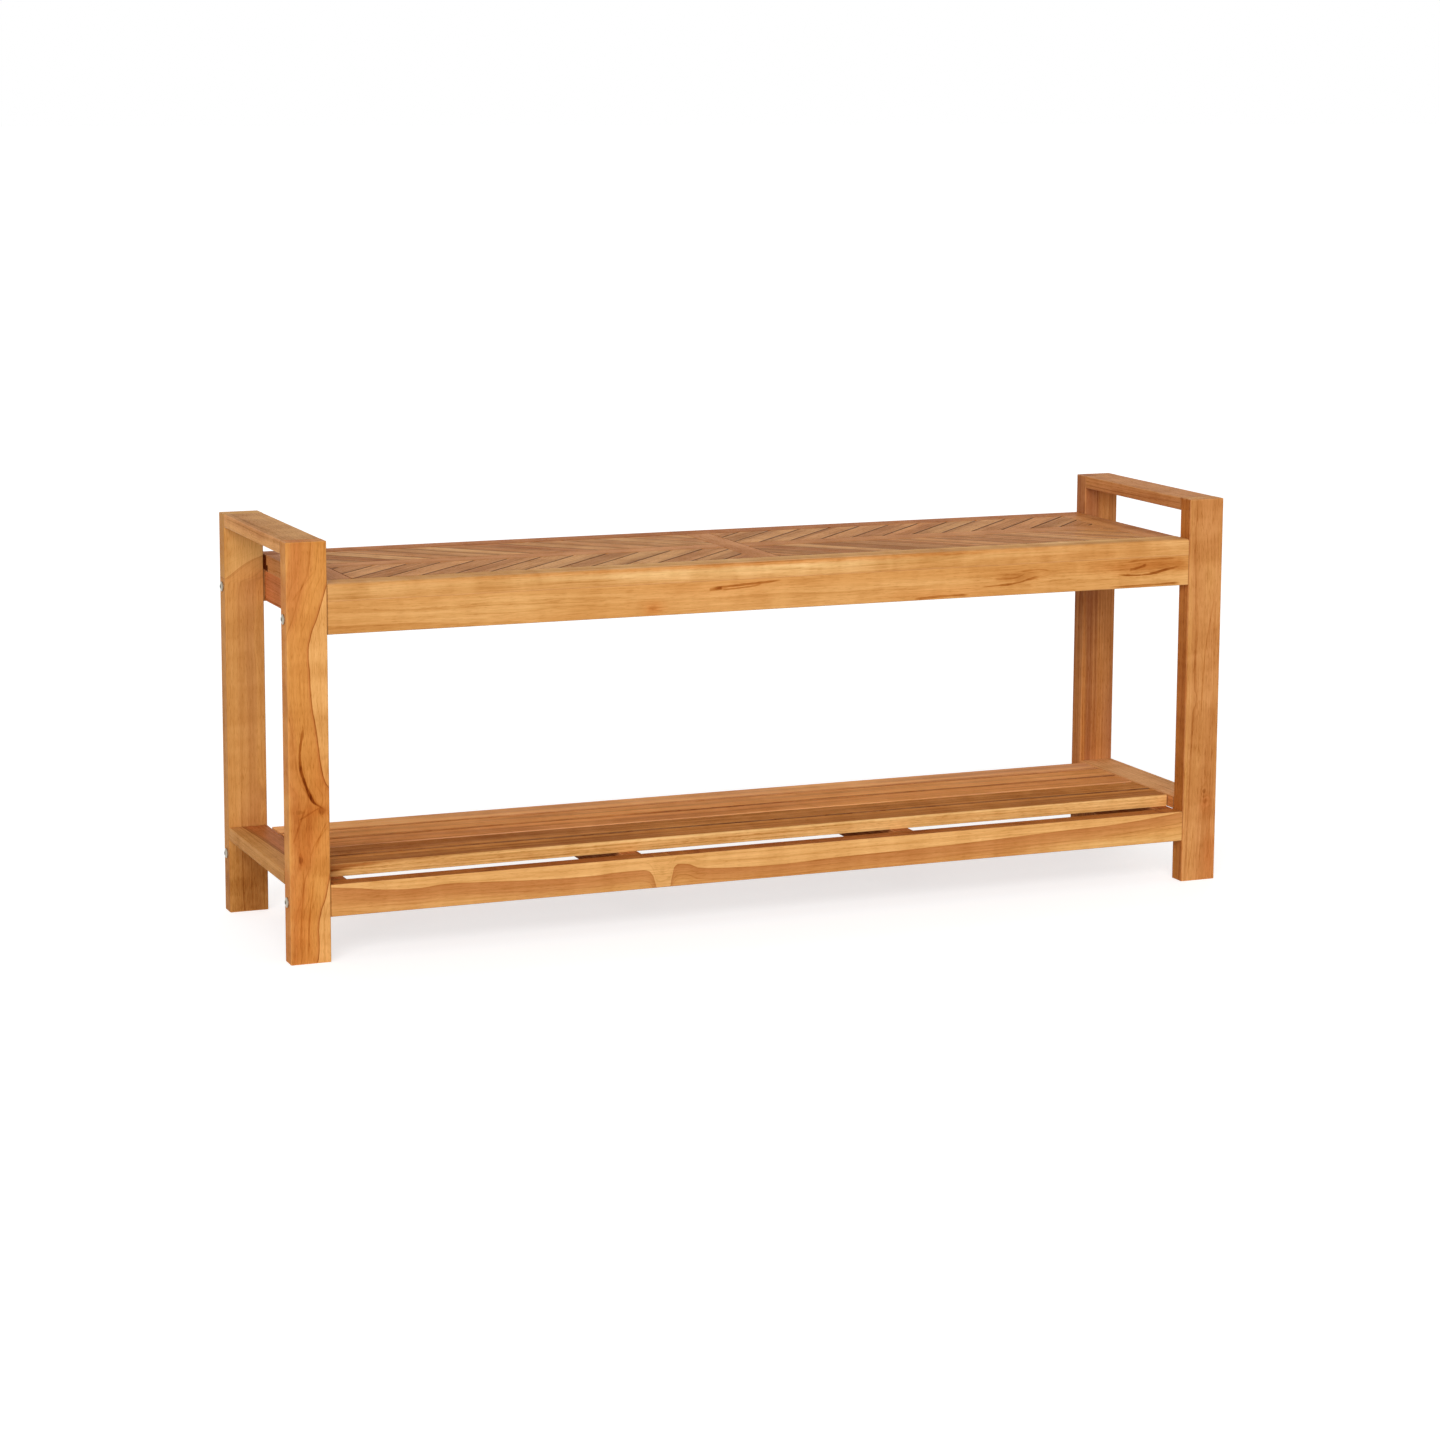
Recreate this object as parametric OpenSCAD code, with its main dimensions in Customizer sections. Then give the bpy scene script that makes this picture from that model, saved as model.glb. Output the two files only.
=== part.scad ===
// Long wooden bench: two open end frames with arms, a seat of chevron slats in a rebated frame,
// and a slatted shelf below.
// Origin: centre of the footprint, on the floor. X runs along the bench, Y from front to back, Z up.

/* [Overall] */
// Length over the outer faces of the end frames
bench_length = 1216; // [1100:8:1300]
// Depth from the front faces to the back faces of the legs
bench_depth = 300; // [280:2:340]
// Height of the legs and arms
bench_height = 490; // [480:2:520]
// Height of the seat's upper face
seat_height = 440; // [420:2:450]
// Height of the shelf's upper face
shelf_height = 106; // [100:1:160]

/* [End frames] */
// Width of the leg, arm and stretcher boards, seen from the front
board_width = 48; // [44:1:56]
// Thickness of the legs, front to back
leg_thickness = 24; // [22:1:28]
// Thickness of the arms and stretchers
arm_thickness = 16; // [14:1:20]
// Radius on the long edges of the boards
edge_radius = 1.5; // [1:0.5:3]

/* [Rails] */
// Thickness of the long rails, the end rails and the bearers
rail_thickness = 24; // [22:1:28]
// Height of the rails and bearers
rail_height = 38; // [34:1:44]
// Set-back of the end rails from the inner faces of the legs
end_rail_inset = 2; // [0:1:4]
// Distance of the shelf bearers from the middle of the bench
shelf_bearer_x = 180; // [120:5:220]

/* [Seat] */
// Thickness of the seat's frame
seat_thickness = 20; // [18:1:24]
// Thickness of the chevron slats
chevron_thickness = 12; // [10:1:13]
// Width of the front and rear borders
border_width = 36; // [34:1:44]
// Width of the two end borders
end_border_width = 40; // [36:1:48]
// Width of the spine and of the bar that crosses it
bar_width = 32; // [28:1:40]
// Width of the ledge that carries the ends of the slats
ledge_width = 8; // [6:0.5:10]
// Whole slats along the edge of each of the four panels
slats_per_panel = 12; // [8:1:14]
// Gap between neighbouring slats, for drainage
chevron_gap = 1.7; // [1:0.1:3]
// Gap between the slats and the frame round them
panel_gap = 0.6; // [0.4:0.1:1.5]
// Radius on the seat's front and rear upper edges
seat_edge_radius = 4; // [2:0.5:6]

/* [Shelf] */
// Gap between the shelf slats
shelf_gap = 5; // [3:0.5:8]
// Thickness of the shelf slats
shelf_slat_thickness = 15; // [12:1:18]
// Set-back of the outer slats from the front and rear faces
shelf_margin = 37.5; // [32:0.5:44]
// Gap between the ends of the slats and the end frames
shelf_end_gap = 2; // [1:0.5:4]
// Radius on the upper edges of the shelf slats
shelf_edge_radius = 1; // [1:0.5:4]

/* [Fasteners] */
// Diameter of the assembly bolts
bolt_d = 6; // [5:0.5:7]
// Diameter of the bolt heads
bolt_head_d = 12; // [11:0.5:15]
// Height of the domed bolt heads
bolt_head_h = 3; // [2:0.5:4]
// Distance from a rail's end to the middle of its barrel nut
nut_reach = 36; // [34:1:44]
// Diameter of the barrel nuts
nut_d = 10; // [9:0.5:12]
// Length of the barrel nuts
nut_length = 16; // [14:1:18]
// Diameter of the dowels in the end frames and rails
dowel_d = 8; // [6:0.5:8]
// Diameter of the dowels in the seat's frame
small_dowel_d = 6; // [5:0.5:6]
// Length of every dowel
dowel_length = 28; // [24:1:28]
// Diameter of the wood screws
screw_d = 4; // [3.5:0.5:4.5]
// Diameter of the screw heads
screw_head_d = 8; // [7:0.5:8]

/* [Hidden] */
$fn = 48;

// Main planes
half_length = bench_length / 2;
half_depth = bench_depth / 2;
rail_end = half_length - board_width;
leg_x = half_length - board_width / 2;
leg_inner_y = half_depth - leg_thickness;
rail_y = half_depth - rail_thickness / 2;
rail_inner_y = half_depth - rail_thickness;
arm_z = bench_height - arm_thickness;
stretcher_z = shelf_height - arm_thickness;
seat_frame_z = seat_height - seat_thickness;
chevron_z = seat_height - chevron_thickness;
seat_rail_z = seat_frame_z - rail_height;
shelf_slat_z = shelf_height - shelf_slat_thickness;
shelf_rail_z = shelf_slat_z - rail_height;
rail_zs = [seat_rail_z, shelf_rail_z];

// Seat frame: the openings of the four panels, and the slats that fill them
border_y = half_depth - border_width;
end_border_x = rail_end - end_border_width;
ledge_height = seat_thickness - chevron_thickness;
bar_half = bar_width / 2;
panel_length = end_border_x - bar_half;
panel_depth = border_y - bar_half;
chevron_pitch = panel_length / slats_per_panel;
chevron_width = chevron_pitch * cos(45) - chevron_gap;
first_slat = -ceil(panel_depth / chevron_pitch);

// Where the end rails and bearers stand along the bench
end_rail_x = rail_end - end_rail_inset - rail_thickness / 2;
seat_bearer_x = bar_half + panel_length / 2;
seat_supports = [-end_rail_x, -seat_bearer_x, 0, seat_bearer_x, end_rail_x];
shelf_supports = [-end_rail_x, -shelf_bearer_x, shelf_bearer_x, end_rail_x];

// Shelf slats, from front to rear
shelf_slats = 5;
shelf_slat_width = (bench_depth - 2 * shelf_margin - (shelf_slats - 1) * shelf_gap) / shelf_slats;
function shelf_slat_y(i) = -half_depth + shelf_margin + i * (shelf_slat_width + shelf_gap);

// Clearances and drillings
play = 0.05;
bolt_hole_d = bolt_d + 1;
bolt_tail = 8;
bolt_socket = 4;
bolt_socket_depth = 2;
dowel_hole_length = dowel_length + 2;
screw_counterbore_d = screw_head_d + 1;
screw_counterbore = 16;
screw_length = 32;
screw_head_h = 2.5;
seat_screw_spacing = 266;
end_screw_y = 60;

// Dowel centres in the joint between a leg and an arm or stretcher, whose middle is at height z
function frame_joint(sx, sy, z) = [for (d = [-1, 1])
  [sx * leg_x + d * board_width / 4, sy * leg_inner_y, z]];
// Dowel centres where an end rail or bearer at x meets a long rail
function rail_joint(x, sy, z) = [for (d = [-1, 1])
  [x, sy * rail_inner_y, z + rail_height / 2 + d * rail_height / 4]];
// Dowel centres in the seat's frame, along Y at a border and along X at a spine's end
seat_dowel_z = chevron_z + chevron_thickness / 2;
function border_joint(x, width, sy) = [for (d = [-1, 1])
  [x + d * width / 4, sy * border_y, seat_dowel_z]];
function spine_joint(x) = [for (d = [-1, 1]) [x, d * bar_width / 4, seat_dowel_z]];

// Screw centres in plan: up into the seat's frame, and up into the shelf slats
seat_rail_screws = [for (i = [-1.5:1:1.5], sy = [-1, 1]) [i * seat_screw_spacing, sy * rail_y]];
seat_end_screws = [for (sx = [-1, 1], sy = [-1, 1]) [sx * end_rail_x, sy * end_screw_y]];
seat_bearer_screws = [for (x = [-seat_bearer_x, 0, seat_bearer_x]) [x, 0]];
all_seat_screws = concat(seat_rail_screws, seat_end_screws, seat_bearer_screws);
all_shelf_screws = [for (x = shelf_supports, i = [0:shelf_slats - 1])
  [x, shelf_slat_y(i) + shelf_slat_width / 2]];

// --- Shapes ------------------------------------------------------------------------------------

// What is planed off one corner of a profile to leave a rounding of radius r
module corner_waste(r) difference() {
  translate([-1, -1]) square(r + 1);
  translate([r, r]) circle(r);
}

// Board profile of size s; radii are for the corners at low-low, high-low, high-high and low-high
module profile(s, radii) difference() {
  square(s);
  for (i = [0:3]) if (radii[i] > 0)
    translate([(i == 1 || i == 2) ? s.x : 0, i >= 2 ? s.y : 0])
      mirror([(i == 1 || i == 2) ? 1 : 0, 0]) mirror([0, i >= 2 ? 1 : 0]) corner_waste(radii[i]);
}

// Boards with their lowest corner at p and size s, named by the way their grain runs
module board_x(p, s, radii) translate(p) rotate([90, 0, 90]) linear_extrude(s.x) profile([s.y, s.z], radii);
module board_y(p, s, radii) translate([p.x, p.y + s.y, p.z]) rotate([90, 0, 0])
  linear_extrude(s.y) profile([s.x, s.z], radii);
module board_z(p, s, radii) translate(p) linear_extrude(s.z) profile([s.x, s.y], radii);
function eased(r) = [r, r, r, r];
function eased_below(r) = [r, r, 0, 0];

module rod_x(p, d, l) translate(p) rotate([0, 90, 0]) cylinder(d = d, h = l, center = true);
module rod_y(p, d, l) translate(p) rotate([90, 0, 0]) cylinder(d = d, h = l, center = true);

module dowel_holes_y(points, d = dowel_d) for (p = points) rod_y(p, d, dowel_hole_length);
module dowels_y(points, d = dowel_d) for (p = points) rod_y(p, d - 2 * play, dowel_length);
module dowel_holes_x(points, d = small_dowel_d) for (p = points) rod_x(p, d, dowel_hole_length);
module dowels_x(points, d = small_dowel_d) for (p = points) rod_x(p, d - 2 * play, dowel_length);

// Holes for wood screws that go up from the underside of a rail at height z
module screw_holes(points, z) for (p = points) {
  translate([p.x, p.y, z - 1]) cylinder(d = screw_counterbore_d, h = screw_counterbore + 1);
  translate([p.x, p.y, z]) cylinder(d = screw_d + 2 * play, h = screw_counterbore + screw_length + 1);
}

module screws(points, z) color("silver") for (p = points) translate([p.x, p.y, z + screw_counterbore]) {
  cylinder(d = screw_d, h = screw_length);
  translate([0, 0, -screw_head_h]) cylinder(d = screw_head_d, h = screw_head_h);
}

// --- End frames --------------------------------------------------------------------------------

module leg(sx, sy) color("#CB8C48") difference() {
  board_z([sx * leg_x - board_width / 2, sy > 0 ? leg_inner_y : -half_depth, 0],
    [board_width, leg_thickness, bench_height], eased(edge_radius));
  dowel_holes_y(frame_joint(sx, sy, arm_z + arm_thickness / 2));
  dowel_holes_y(frame_joint(sx, sy, stretcher_z + arm_thickness / 2));
  for (z = rail_zs) rod_x([sx * leg_x, sy * rail_y, z + rail_height / 2], bolt_hole_d, board_width + 2);
}

// Flat board from the front leg to the rear leg, used as the arm and as the lower stretcher
module end_board(sx, z) color("#B5834F") difference() {
  board_y([sx * leg_x - board_width / 2, -leg_inner_y, z],
    [board_width, 2 * leg_inner_y, arm_thickness], eased(edge_radius));
  for (sy = [-1, 1]) dowel_holes_y(frame_joint(sx, sy, z + arm_thickness / 2));
}

module left_front_leg() leg(-1, -1);
module left_rear_leg() leg(-1, 1);
module right_front_leg() leg(1, -1);
module right_rear_leg() leg(1, 1);
module left_arm() end_board(-1, arm_z);
module right_arm() end_board(1, arm_z);
module left_stretcher() end_board(-1, stretcher_z);
module right_stretcher() end_board(1, stretcher_z);

// --- Rails and bearers -------------------------------------------------------------------------

// Long rail between the end frames, with a cross-drilled barrel nut hole near each end
module long_rail(sy, z, supports, radii, screw_points) color("#D29A58") difference() {
  board_x([-rail_end, sy > 0 ? rail_inner_y : -half_depth, z],
    [2 * rail_end, rail_thickness, rail_height], radii);
  for (x = supports) dowel_holes_y(rail_joint(x, sy, z));
  for (sx = [-1, 1]) {
    rod_x([sx * rail_end, sy * rail_y, z + rail_height / 2], bolt_hole_d, 2 * (nut_reach + bolt_tail));
    rod_y([sx * (rail_end - nut_reach), sy * rail_inner_y, z + rail_height / 2],
      nut_d + 2 * play, rail_thickness + nut_length);
  }
  screw_holes(screw_points, z);
}

// End rail or bearer from the front rail to the rear rail, at x
module cross_rail(x, z, radii, screw_points) color("#A9683A") difference() {
  board_y([x - rail_thickness / 2, -rail_inner_y, z],
    [rail_thickness, 2 * rail_inner_y, rail_height], radii);
  for (sy = [-1, 1]) dowel_holes_y(rail_joint(x, sy, z));
  screw_holes([for (p = screw_points) if (abs(p.x - x) < 1) p], z);
}

module seat_long_rail(sy) long_rail(sy, seat_rail_z, seat_supports, eased_below(edge_radius),
  [for (p = seat_rail_screws) if (p.y * sy > 0) p]);
module seat_cross_rail(x) cross_rail(x, seat_rail_z, eased_below(edge_radius), all_seat_screws);
module shelf_long_rail(sy) long_rail(sy, shelf_rail_z, shelf_supports, eased(edge_radius), []);
module shelf_cross_rail(x) cross_rail(x, shelf_rail_z, eased_below(edge_radius), all_shelf_screws);

module seat_front_rail() seat_long_rail(-1);
module seat_rear_rail() seat_long_rail(1);
module seat_left_end_rail() seat_cross_rail(-end_rail_x);
module seat_right_end_rail() seat_cross_rail(end_rail_x);
module seat_left_bearer() seat_cross_rail(-seat_bearer_x);
module seat_middle_bearer() seat_cross_rail(0);
module seat_right_bearer() seat_cross_rail(seat_bearer_x);
module shelf_front_rail() shelf_long_rail(-1);
module shelf_rear_rail() shelf_long_rail(1);
module shelf_left_end_rail() shelf_cross_rail(-end_rail_x);
module shelf_right_end_rail() shelf_cross_rail(end_rail_x);
module shelf_left_bearer() shelf_cross_rail(-shelf_bearer_x);
module shelf_right_bearer() shelf_cross_rail(shelf_bearer_x);

// --- Seat frame --------------------------------------------------------------------------------

// Rebated border along the front or rear edge: full width above, with a ledge below
module long_border(sy) color("#C4935F") difference() {
  mirror([0, sy > 0 ? 1 : 0, 0]) {
    board_x([-rail_end, -half_depth, seat_frame_z],
      [2 * rail_end, border_width, seat_thickness], [0, 0, 0, seat_edge_radius]);
    translate([-rail_end, -border_y, seat_frame_z])
      cube([2 * rail_end, ledge_width, ledge_height]);
  }
  dowel_holes_y(border_joint(0, bar_width, sy), small_dowel_d);
  for (sx = [-1, 1])
    dowel_holes_y(border_joint(sx * (rail_end - end_border_width / 2), end_border_width, sy), small_dowel_d);
  screw_holes([for (p = seat_rail_screws) if (p.y * sy > 0) p], seat_rail_z);
}

// Rebated border across one end, lapped over the ledges of the long borders
module end_border(sx) color("#B98A62") difference() {
  mirror([sx > 0 ? 0 : 1, 0, 0]) {
    board_y([end_border_x, -border_y, chevron_z],
      [end_border_width, 2 * border_y, chevron_thickness], [0, 0, edge_radius, 0]);
    translate([end_border_x - ledge_width, -border_y + ledge_width, seat_frame_z])
      cube([end_border_width + ledge_width, 2 * (border_y - ledge_width), ledge_height]);
  }
  for (sy = [-1, 1])
    dowel_holes_y(border_joint(sx * (rail_end - end_border_width / 2), end_border_width, sy), small_dowel_d);
  dowel_holes_x(spine_joint(sx * end_border_x));
  screw_holes([for (p = seat_end_screws) if (p.x * sx > 0) p], seat_rail_z);
}

// Bar through the middle of the seat, with a ledge on both sides
module seat_cross_bar() color("#B98A62") difference() {
  union() {
    translate([-bar_half, -border_y, chevron_z]) cube([bar_width, 2 * border_y, chevron_thickness]);
    translate([-bar_half - ledge_width, -border_y + ledge_width, seat_frame_z])
      cube([bar_width + 2 * ledge_width, 2 * (border_y - ledge_width), ledge_height]);
  }
  for (sy = [-1, 1]) dowel_holes_y(border_joint(0, bar_width, sy), small_dowel_d);
  for (sx = [-1, 1]) dowel_holes_x(spine_joint(sx * bar_half));
  screw_holes([[0, 0]], seat_rail_z);
}

// Spine between the two rows of slats on one side of the cross bar
module spine(sx) color("#B98A62") difference() {
  mirror([sx > 0 ? 0 : 1, 0, 0]) {
    translate([bar_half, -bar_half, chevron_z]) cube([panel_length, bar_width, chevron_thickness]);
    translate([bar_half + ledge_width, -bar_half - ledge_width, seat_frame_z])
      cube([panel_length - 2 * ledge_width, bar_width + 2 * ledge_width, ledge_height]);
  }
  dowel_holes_x(spine_joint(sx * bar_half));
  dowel_holes_x(spine_joint(sx * end_border_x));
  screw_holes([[sx * seat_bearer_x, 0]], seat_rail_z);
}

module seat_front_border() long_border(-1);
module seat_rear_border() long_border(1);
module seat_left_border() end_border(-1);
module seat_right_border() end_border(1);
module seat_left_spine() spine(-1);
module seat_right_spine() spine(1);

// --- Chevron slats -----------------------------------------------------------------------------

// Outline of slat k in a panel whose outer corner is at the origin: a strip at 45 degrees, trimmed
// to the panel. Slats below 0 start at the end border, the others at the long border.
module chevron_outline(k) intersection() {
  translate([panel_gap, panel_gap]) square([panel_length, panel_depth] - [2, 2] * panel_gap);
  translate([chevron_pitch * (k + 0.5), 0]) rotate(45)
    translate([-panel_depth, -chevron_width / 2]) square([4 * panel_depth, chevron_width]);
}

// Slats of one panel, mirrored so that each pair of panels points at the cross bar
module chevron_slats(sx, sy) color("#AD8463")
  mirror([sx > 0 ? 1 : 0, 0, 0]) mirror([0, sy > 0 ? 1 : 0, 0])
    translate([-end_border_x, -border_y, chevron_z])
      for (k = [first_slat:slats_per_panel - 1]) linear_extrude(chevron_thickness) chevron_outline(k);

module chevron_slats_front_left() chevron_slats(-1, -1);
module chevron_slats_front_right() chevron_slats(1, -1);
module chevron_slats_rear_left() chevron_slats(-1, 1);
module chevron_slats_rear_right() chevron_slats(1, 1);

// --- Shelf slats -------------------------------------------------------------------------------

module shelf_slat(i) color("#C58F52") difference() {
  board_x([-rail_end + shelf_end_gap, shelf_slat_y(i), shelf_slat_z],
    [2 * (rail_end - shelf_end_gap), shelf_slat_width, shelf_slat_thickness],
    [edge_radius / 2, edge_radius / 2, shelf_edge_radius, shelf_edge_radius]);
  screw_holes([for (x = shelf_supports) [x, shelf_slat_y(i) + shelf_slat_width / 2]], shelf_rail_z);
}

module shelf_slat_1() shelf_slat(0);
module shelf_slat_2() shelf_slat(1);
module shelf_slat_3() shelf_slat(2);
module shelf_slat_4() shelf_slat(3);
module shelf_slat_5() shelf_slat(4);

// --- Fasteners ---------------------------------------------------------------------------------

// Bolt through a leg into a rail's end, with a domed head and a hexagon socket
module bolt() difference() {
  shank = board_width + nut_reach + nut_d / 2;
  union() {
    rotate([0, 90, 0]) cylinder(d = bolt_d, h = shank);
    rotate([0, -90, 0]) rotate_extrude() intersection() {
      square([bolt_head_d / 2, bolt_head_h]);
      translate([0, bolt_head_h - bolt_head_d]) circle(bolt_head_d);
    }
  }
  translate([-bolt_head_h - 1, 0, 0]) rotate([0, 90, 0])
    cylinder(d = bolt_socket / cos(30), h = bolt_socket_depth + 1, $fn = 6);
}

module bolts(z) color("silver") for (sx = [0, 1], sy = [-1, 1])
  mirror([sx, 0, 0]) translate([-half_length, sy * rail_y, z + rail_height / 2]) bolt();

module barrel_nuts(z) color("silver") for (sx = [-1, 1], sy = [-1, 1]) difference() {
  p = [sx * (rail_end - nut_reach), sy * rail_y, z + rail_height / 2];
  rod_y(p, nut_d, nut_length);
  rod_x(p, bolt_d + 2 * play, nut_d + 2);
}

module seat_bolts() bolts(seat_rail_z);
module shelf_bolts() bolts(shelf_rail_z);
module seat_barrel_nuts() barrel_nuts(seat_rail_z);
module shelf_barrel_nuts() barrel_nuts(shelf_rail_z);

module end_frame_dowels() color("tan")
  for (sx = [-1, 1], sy = [-1, 1], z = [stretcher_z, arm_z])
    dowels_y(frame_joint(sx, sy, z + arm_thickness / 2));
module seat_rail_dowels() color("tan")
  for (x = seat_supports, sy = [-1, 1]) dowels_y(rail_joint(x, sy, seat_rail_z));
module shelf_rail_dowels() color("tan")
  for (x = shelf_supports, sy = [-1, 1]) dowels_y(rail_joint(x, sy, shelf_rail_z));
module seat_frame_dowels() color("tan") {
  for (sy = [-1, 1]) dowels_y(border_joint(0, bar_width, sy), small_dowel_d);
  for (sx = [-1, 1]) {
    for (sy = [-1, 1])
      dowels_y(border_joint(sx * (rail_end - end_border_width / 2), end_border_width, sy), small_dowel_d);
    dowels_x(spine_joint(sx * bar_half));
    dowels_x(spine_joint(sx * end_border_x));
  }
}
module seat_screws() screws(all_seat_screws, seat_rail_z);
module shelf_slat_screws() screws(all_shelf_screws, shelf_rail_z);

left_front_leg();
left_rear_leg();
right_front_leg();
right_rear_leg();
left_arm();
right_arm();
left_stretcher();
right_stretcher();
seat_front_rail();
seat_rear_rail();
seat_left_end_rail();
seat_right_end_rail();
seat_left_bearer();
seat_middle_bearer();
seat_right_bearer();
seat_front_border();
seat_rear_border();
seat_left_border();
seat_right_border();
seat_cross_bar();
seat_left_spine();
seat_right_spine();
chevron_slats_front_left();
chevron_slats_front_right();
chevron_slats_rear_left();
chevron_slats_rear_right();
shelf_front_rail();
shelf_rear_rail();
shelf_left_end_rail();
shelf_right_end_rail();
shelf_left_bearer();
shelf_right_bearer();
shelf_slat_1();
shelf_slat_2();
shelf_slat_3();
shelf_slat_4();
shelf_slat_5();
seat_bolts();
shelf_bolts();
seat_barrel_nuts();
shelf_barrel_nuts();
end_frame_dowels();
seat_rail_dowels();
shelf_rail_dowels();
seat_frame_dowels();
seat_screws();
shelf_slat_screws();
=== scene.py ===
"""A long teak bench with open end frames, a seat of chevron slats and a slatted shelf.

Every board is milled here with softened arrises and its own place in a log, so that the growth rings of
the teak run through it as they would through a sawn board. Bolts, nuts, dowels and screws are the frame's own.
"""

import math
import random
from functools import reduce
from itertools import product

import bpy
from mathutils import Euler, Matrix, Vector


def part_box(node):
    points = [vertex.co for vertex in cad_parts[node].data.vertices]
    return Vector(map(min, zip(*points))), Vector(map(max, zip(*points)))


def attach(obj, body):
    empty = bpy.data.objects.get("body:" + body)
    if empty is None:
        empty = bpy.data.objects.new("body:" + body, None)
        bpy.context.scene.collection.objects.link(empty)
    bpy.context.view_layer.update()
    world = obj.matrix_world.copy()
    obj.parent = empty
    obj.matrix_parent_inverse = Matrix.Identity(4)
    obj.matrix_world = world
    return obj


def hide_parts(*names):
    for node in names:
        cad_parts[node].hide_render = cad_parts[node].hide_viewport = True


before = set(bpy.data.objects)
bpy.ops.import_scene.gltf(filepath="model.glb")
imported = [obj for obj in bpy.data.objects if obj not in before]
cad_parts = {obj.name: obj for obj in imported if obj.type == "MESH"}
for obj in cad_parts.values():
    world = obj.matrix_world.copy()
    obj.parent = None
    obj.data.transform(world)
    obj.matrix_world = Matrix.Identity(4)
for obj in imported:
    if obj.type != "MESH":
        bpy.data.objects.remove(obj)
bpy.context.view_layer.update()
MM = 0.001

# Sizes that the seat's rebated boards share, in metres
HALF_DEPTH = 150 * MM
BORDER_WIDTH = 36 * MM
LEDGE = 8 * MM
SLAT_THICKNESS = 12 * MM
BAR_WIDTH = 32 * MM
CHEVRON_GAP = 1.7 * MM
PANEL_GAP = 0.6 * MM
SLATS_PER_PANEL = 12

# Milling: a board is an outline with rounded corners, drawn along its length, with its end arrises softened

ARC_STEPS = 4
END_STEPS = 2
# The most of a side that a rounding takes, and the least radius that it keeps
ROUNDING_SHARE = 0.3
LEAST_RADIUS = 0.02 * MM


def rounded(corners, inset):
    """The outline's points, moved in by inset. Each corner is (across, up, radius), anticlockwise."""
    points = []
    count = len(corners)
    for i, (x, y, radius) in enumerate(corners):
        here = Vector((x, y))
        before = here - Vector(corners[i - 1][:2])
        after = Vector(corners[(i + 1) % count][:2]) - here
        limit = ROUNDING_SHARE * min(before.length, after.length)
        before.normalize()
        after.normalize()
        turn = before.x * after.y - before.y * after.x
        outward = 1 if turn > 0 else -1
        radius = min(radius, limit)
        in_before = Vector((-before.y, before.x))
        in_after = Vector((-after.y, after.x))
        half_turn = math.atan2(abs(turn), before.dot(after)) / 2
        to_centre = (in_before + in_after).normalized() * outward * radius / math.cos(half_turn)
        centre = here + to_centre
        bent = max(radius - outward * inset, LEAST_RADIUS)
        start = math.atan2(-outward * in_before.y, -outward * in_before.x)
        sweep = 2 * half_turn * outward
        for step in range(ARC_STEPS + 1):
            angle = start + sweep * step / ARC_STEPS
            points.append(centre + bent * Vector((math.cos(angle), math.sin(angle))))
    return points


def milled(corners, length, low_end, high_end):
    """Vertices and faces of a board drawn from 0 to length, its end arrises rounded by those radii."""
    stations = []
    for end, radius, sign in ((0.0, low_end, 1), (length, high_end, -1)):
        for step in range(END_STEPS + 1):
            angle = math.pi / 2 * step / END_STEPS
            stations.append((end + sign * radius * (1 - math.sin(angle)), radius * (1 - math.cos(angle))))
    stations.sort()
    vertices, faces = [], []
    for along, inset in stations:
        vertices += [Vector((along, p.x, p.y)) for p in rounded(corners, inset)]
    ring = len(vertices) // len(stations)
    for s in range(len(stations) - 1):
        for i in range(ring):
            j = (i + 1) % ring
            faces.append((s * ring + i, s * ring + j, (s + 1) * ring + j, (s + 1) * ring + i))
    faces.append(tuple(reversed(range(ring))))
    faces.append(tuple(range(len(vertices) - ring, len(vertices))))
    return vertices, faces


# The world axes that a board's length, width and thickness lie along, by the way its grain runs
AXES = {"x": (0, 1, 2), "y": (1, 2, 0), "z": (2, 0, 1)}


def laid(vertex, grain, low):
    """A milled vertex, put where the board lies: its length starts at low."""
    place = Vector()
    for axis, value in zip(AXES[grain], (vertex.x + low, vertex.y, vertex.z)):
        place[axis] = value
    return place


def linked(name, data):
    """A new object of the scene."""
    made = bpy.data.objects.new(name, data)
    bpy.context.scene.collection.objects.link(made)
    return made


def meshed(name, vertices, faces):
    mesh = bpy.data.meshes.new(name)
    mesh.from_pydata(vertices, [], faces)
    return linked(name, mesh)


def smooth(piece):
    """Shades the rounded arrises softly, and leaves the wide faces flat."""
    piece.data.shade_smooth()
    piece.data.set_sharp_from_angle(angle=math.radians(38))
    even = piece.modifiers.new("even_faces", "WEIGHTED_NORMAL")
    even.keep_sharp = True
    even.weight = 60


def cut_away(piece, cutters):
    """Takes notches and drillings out of a board. Each cutter is (vertices, faces)."""
    vertices, faces = [], []
    for some_vertices, some_faces in cutters:
        base = len(vertices)
        vertices += some_vertices
        faces += [[base + i for i in face] for face in some_faces]
    tool = meshed("cutter", vertices, faces)
    mesh = tool.data
    cut = piece.modifiers.new("cut", "BOOLEAN")
    cut.operation = "DIFFERENCE"
    cut.solver = "EXACT"
    cut.use_self = True
    cut.object = tool
    bpy.context.view_layer.update()
    result = bpy.data.meshes.new_from_object(piece.evaluated_get(bpy.context.evaluated_depsgraph_get()))
    piece.modifiers.remove(cut)
    old = piece.data
    piece.data = result
    bpy.data.meshes.remove(old)
    bpy.data.objects.remove(tool)
    bpy.data.meshes.remove(mesh)


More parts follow.
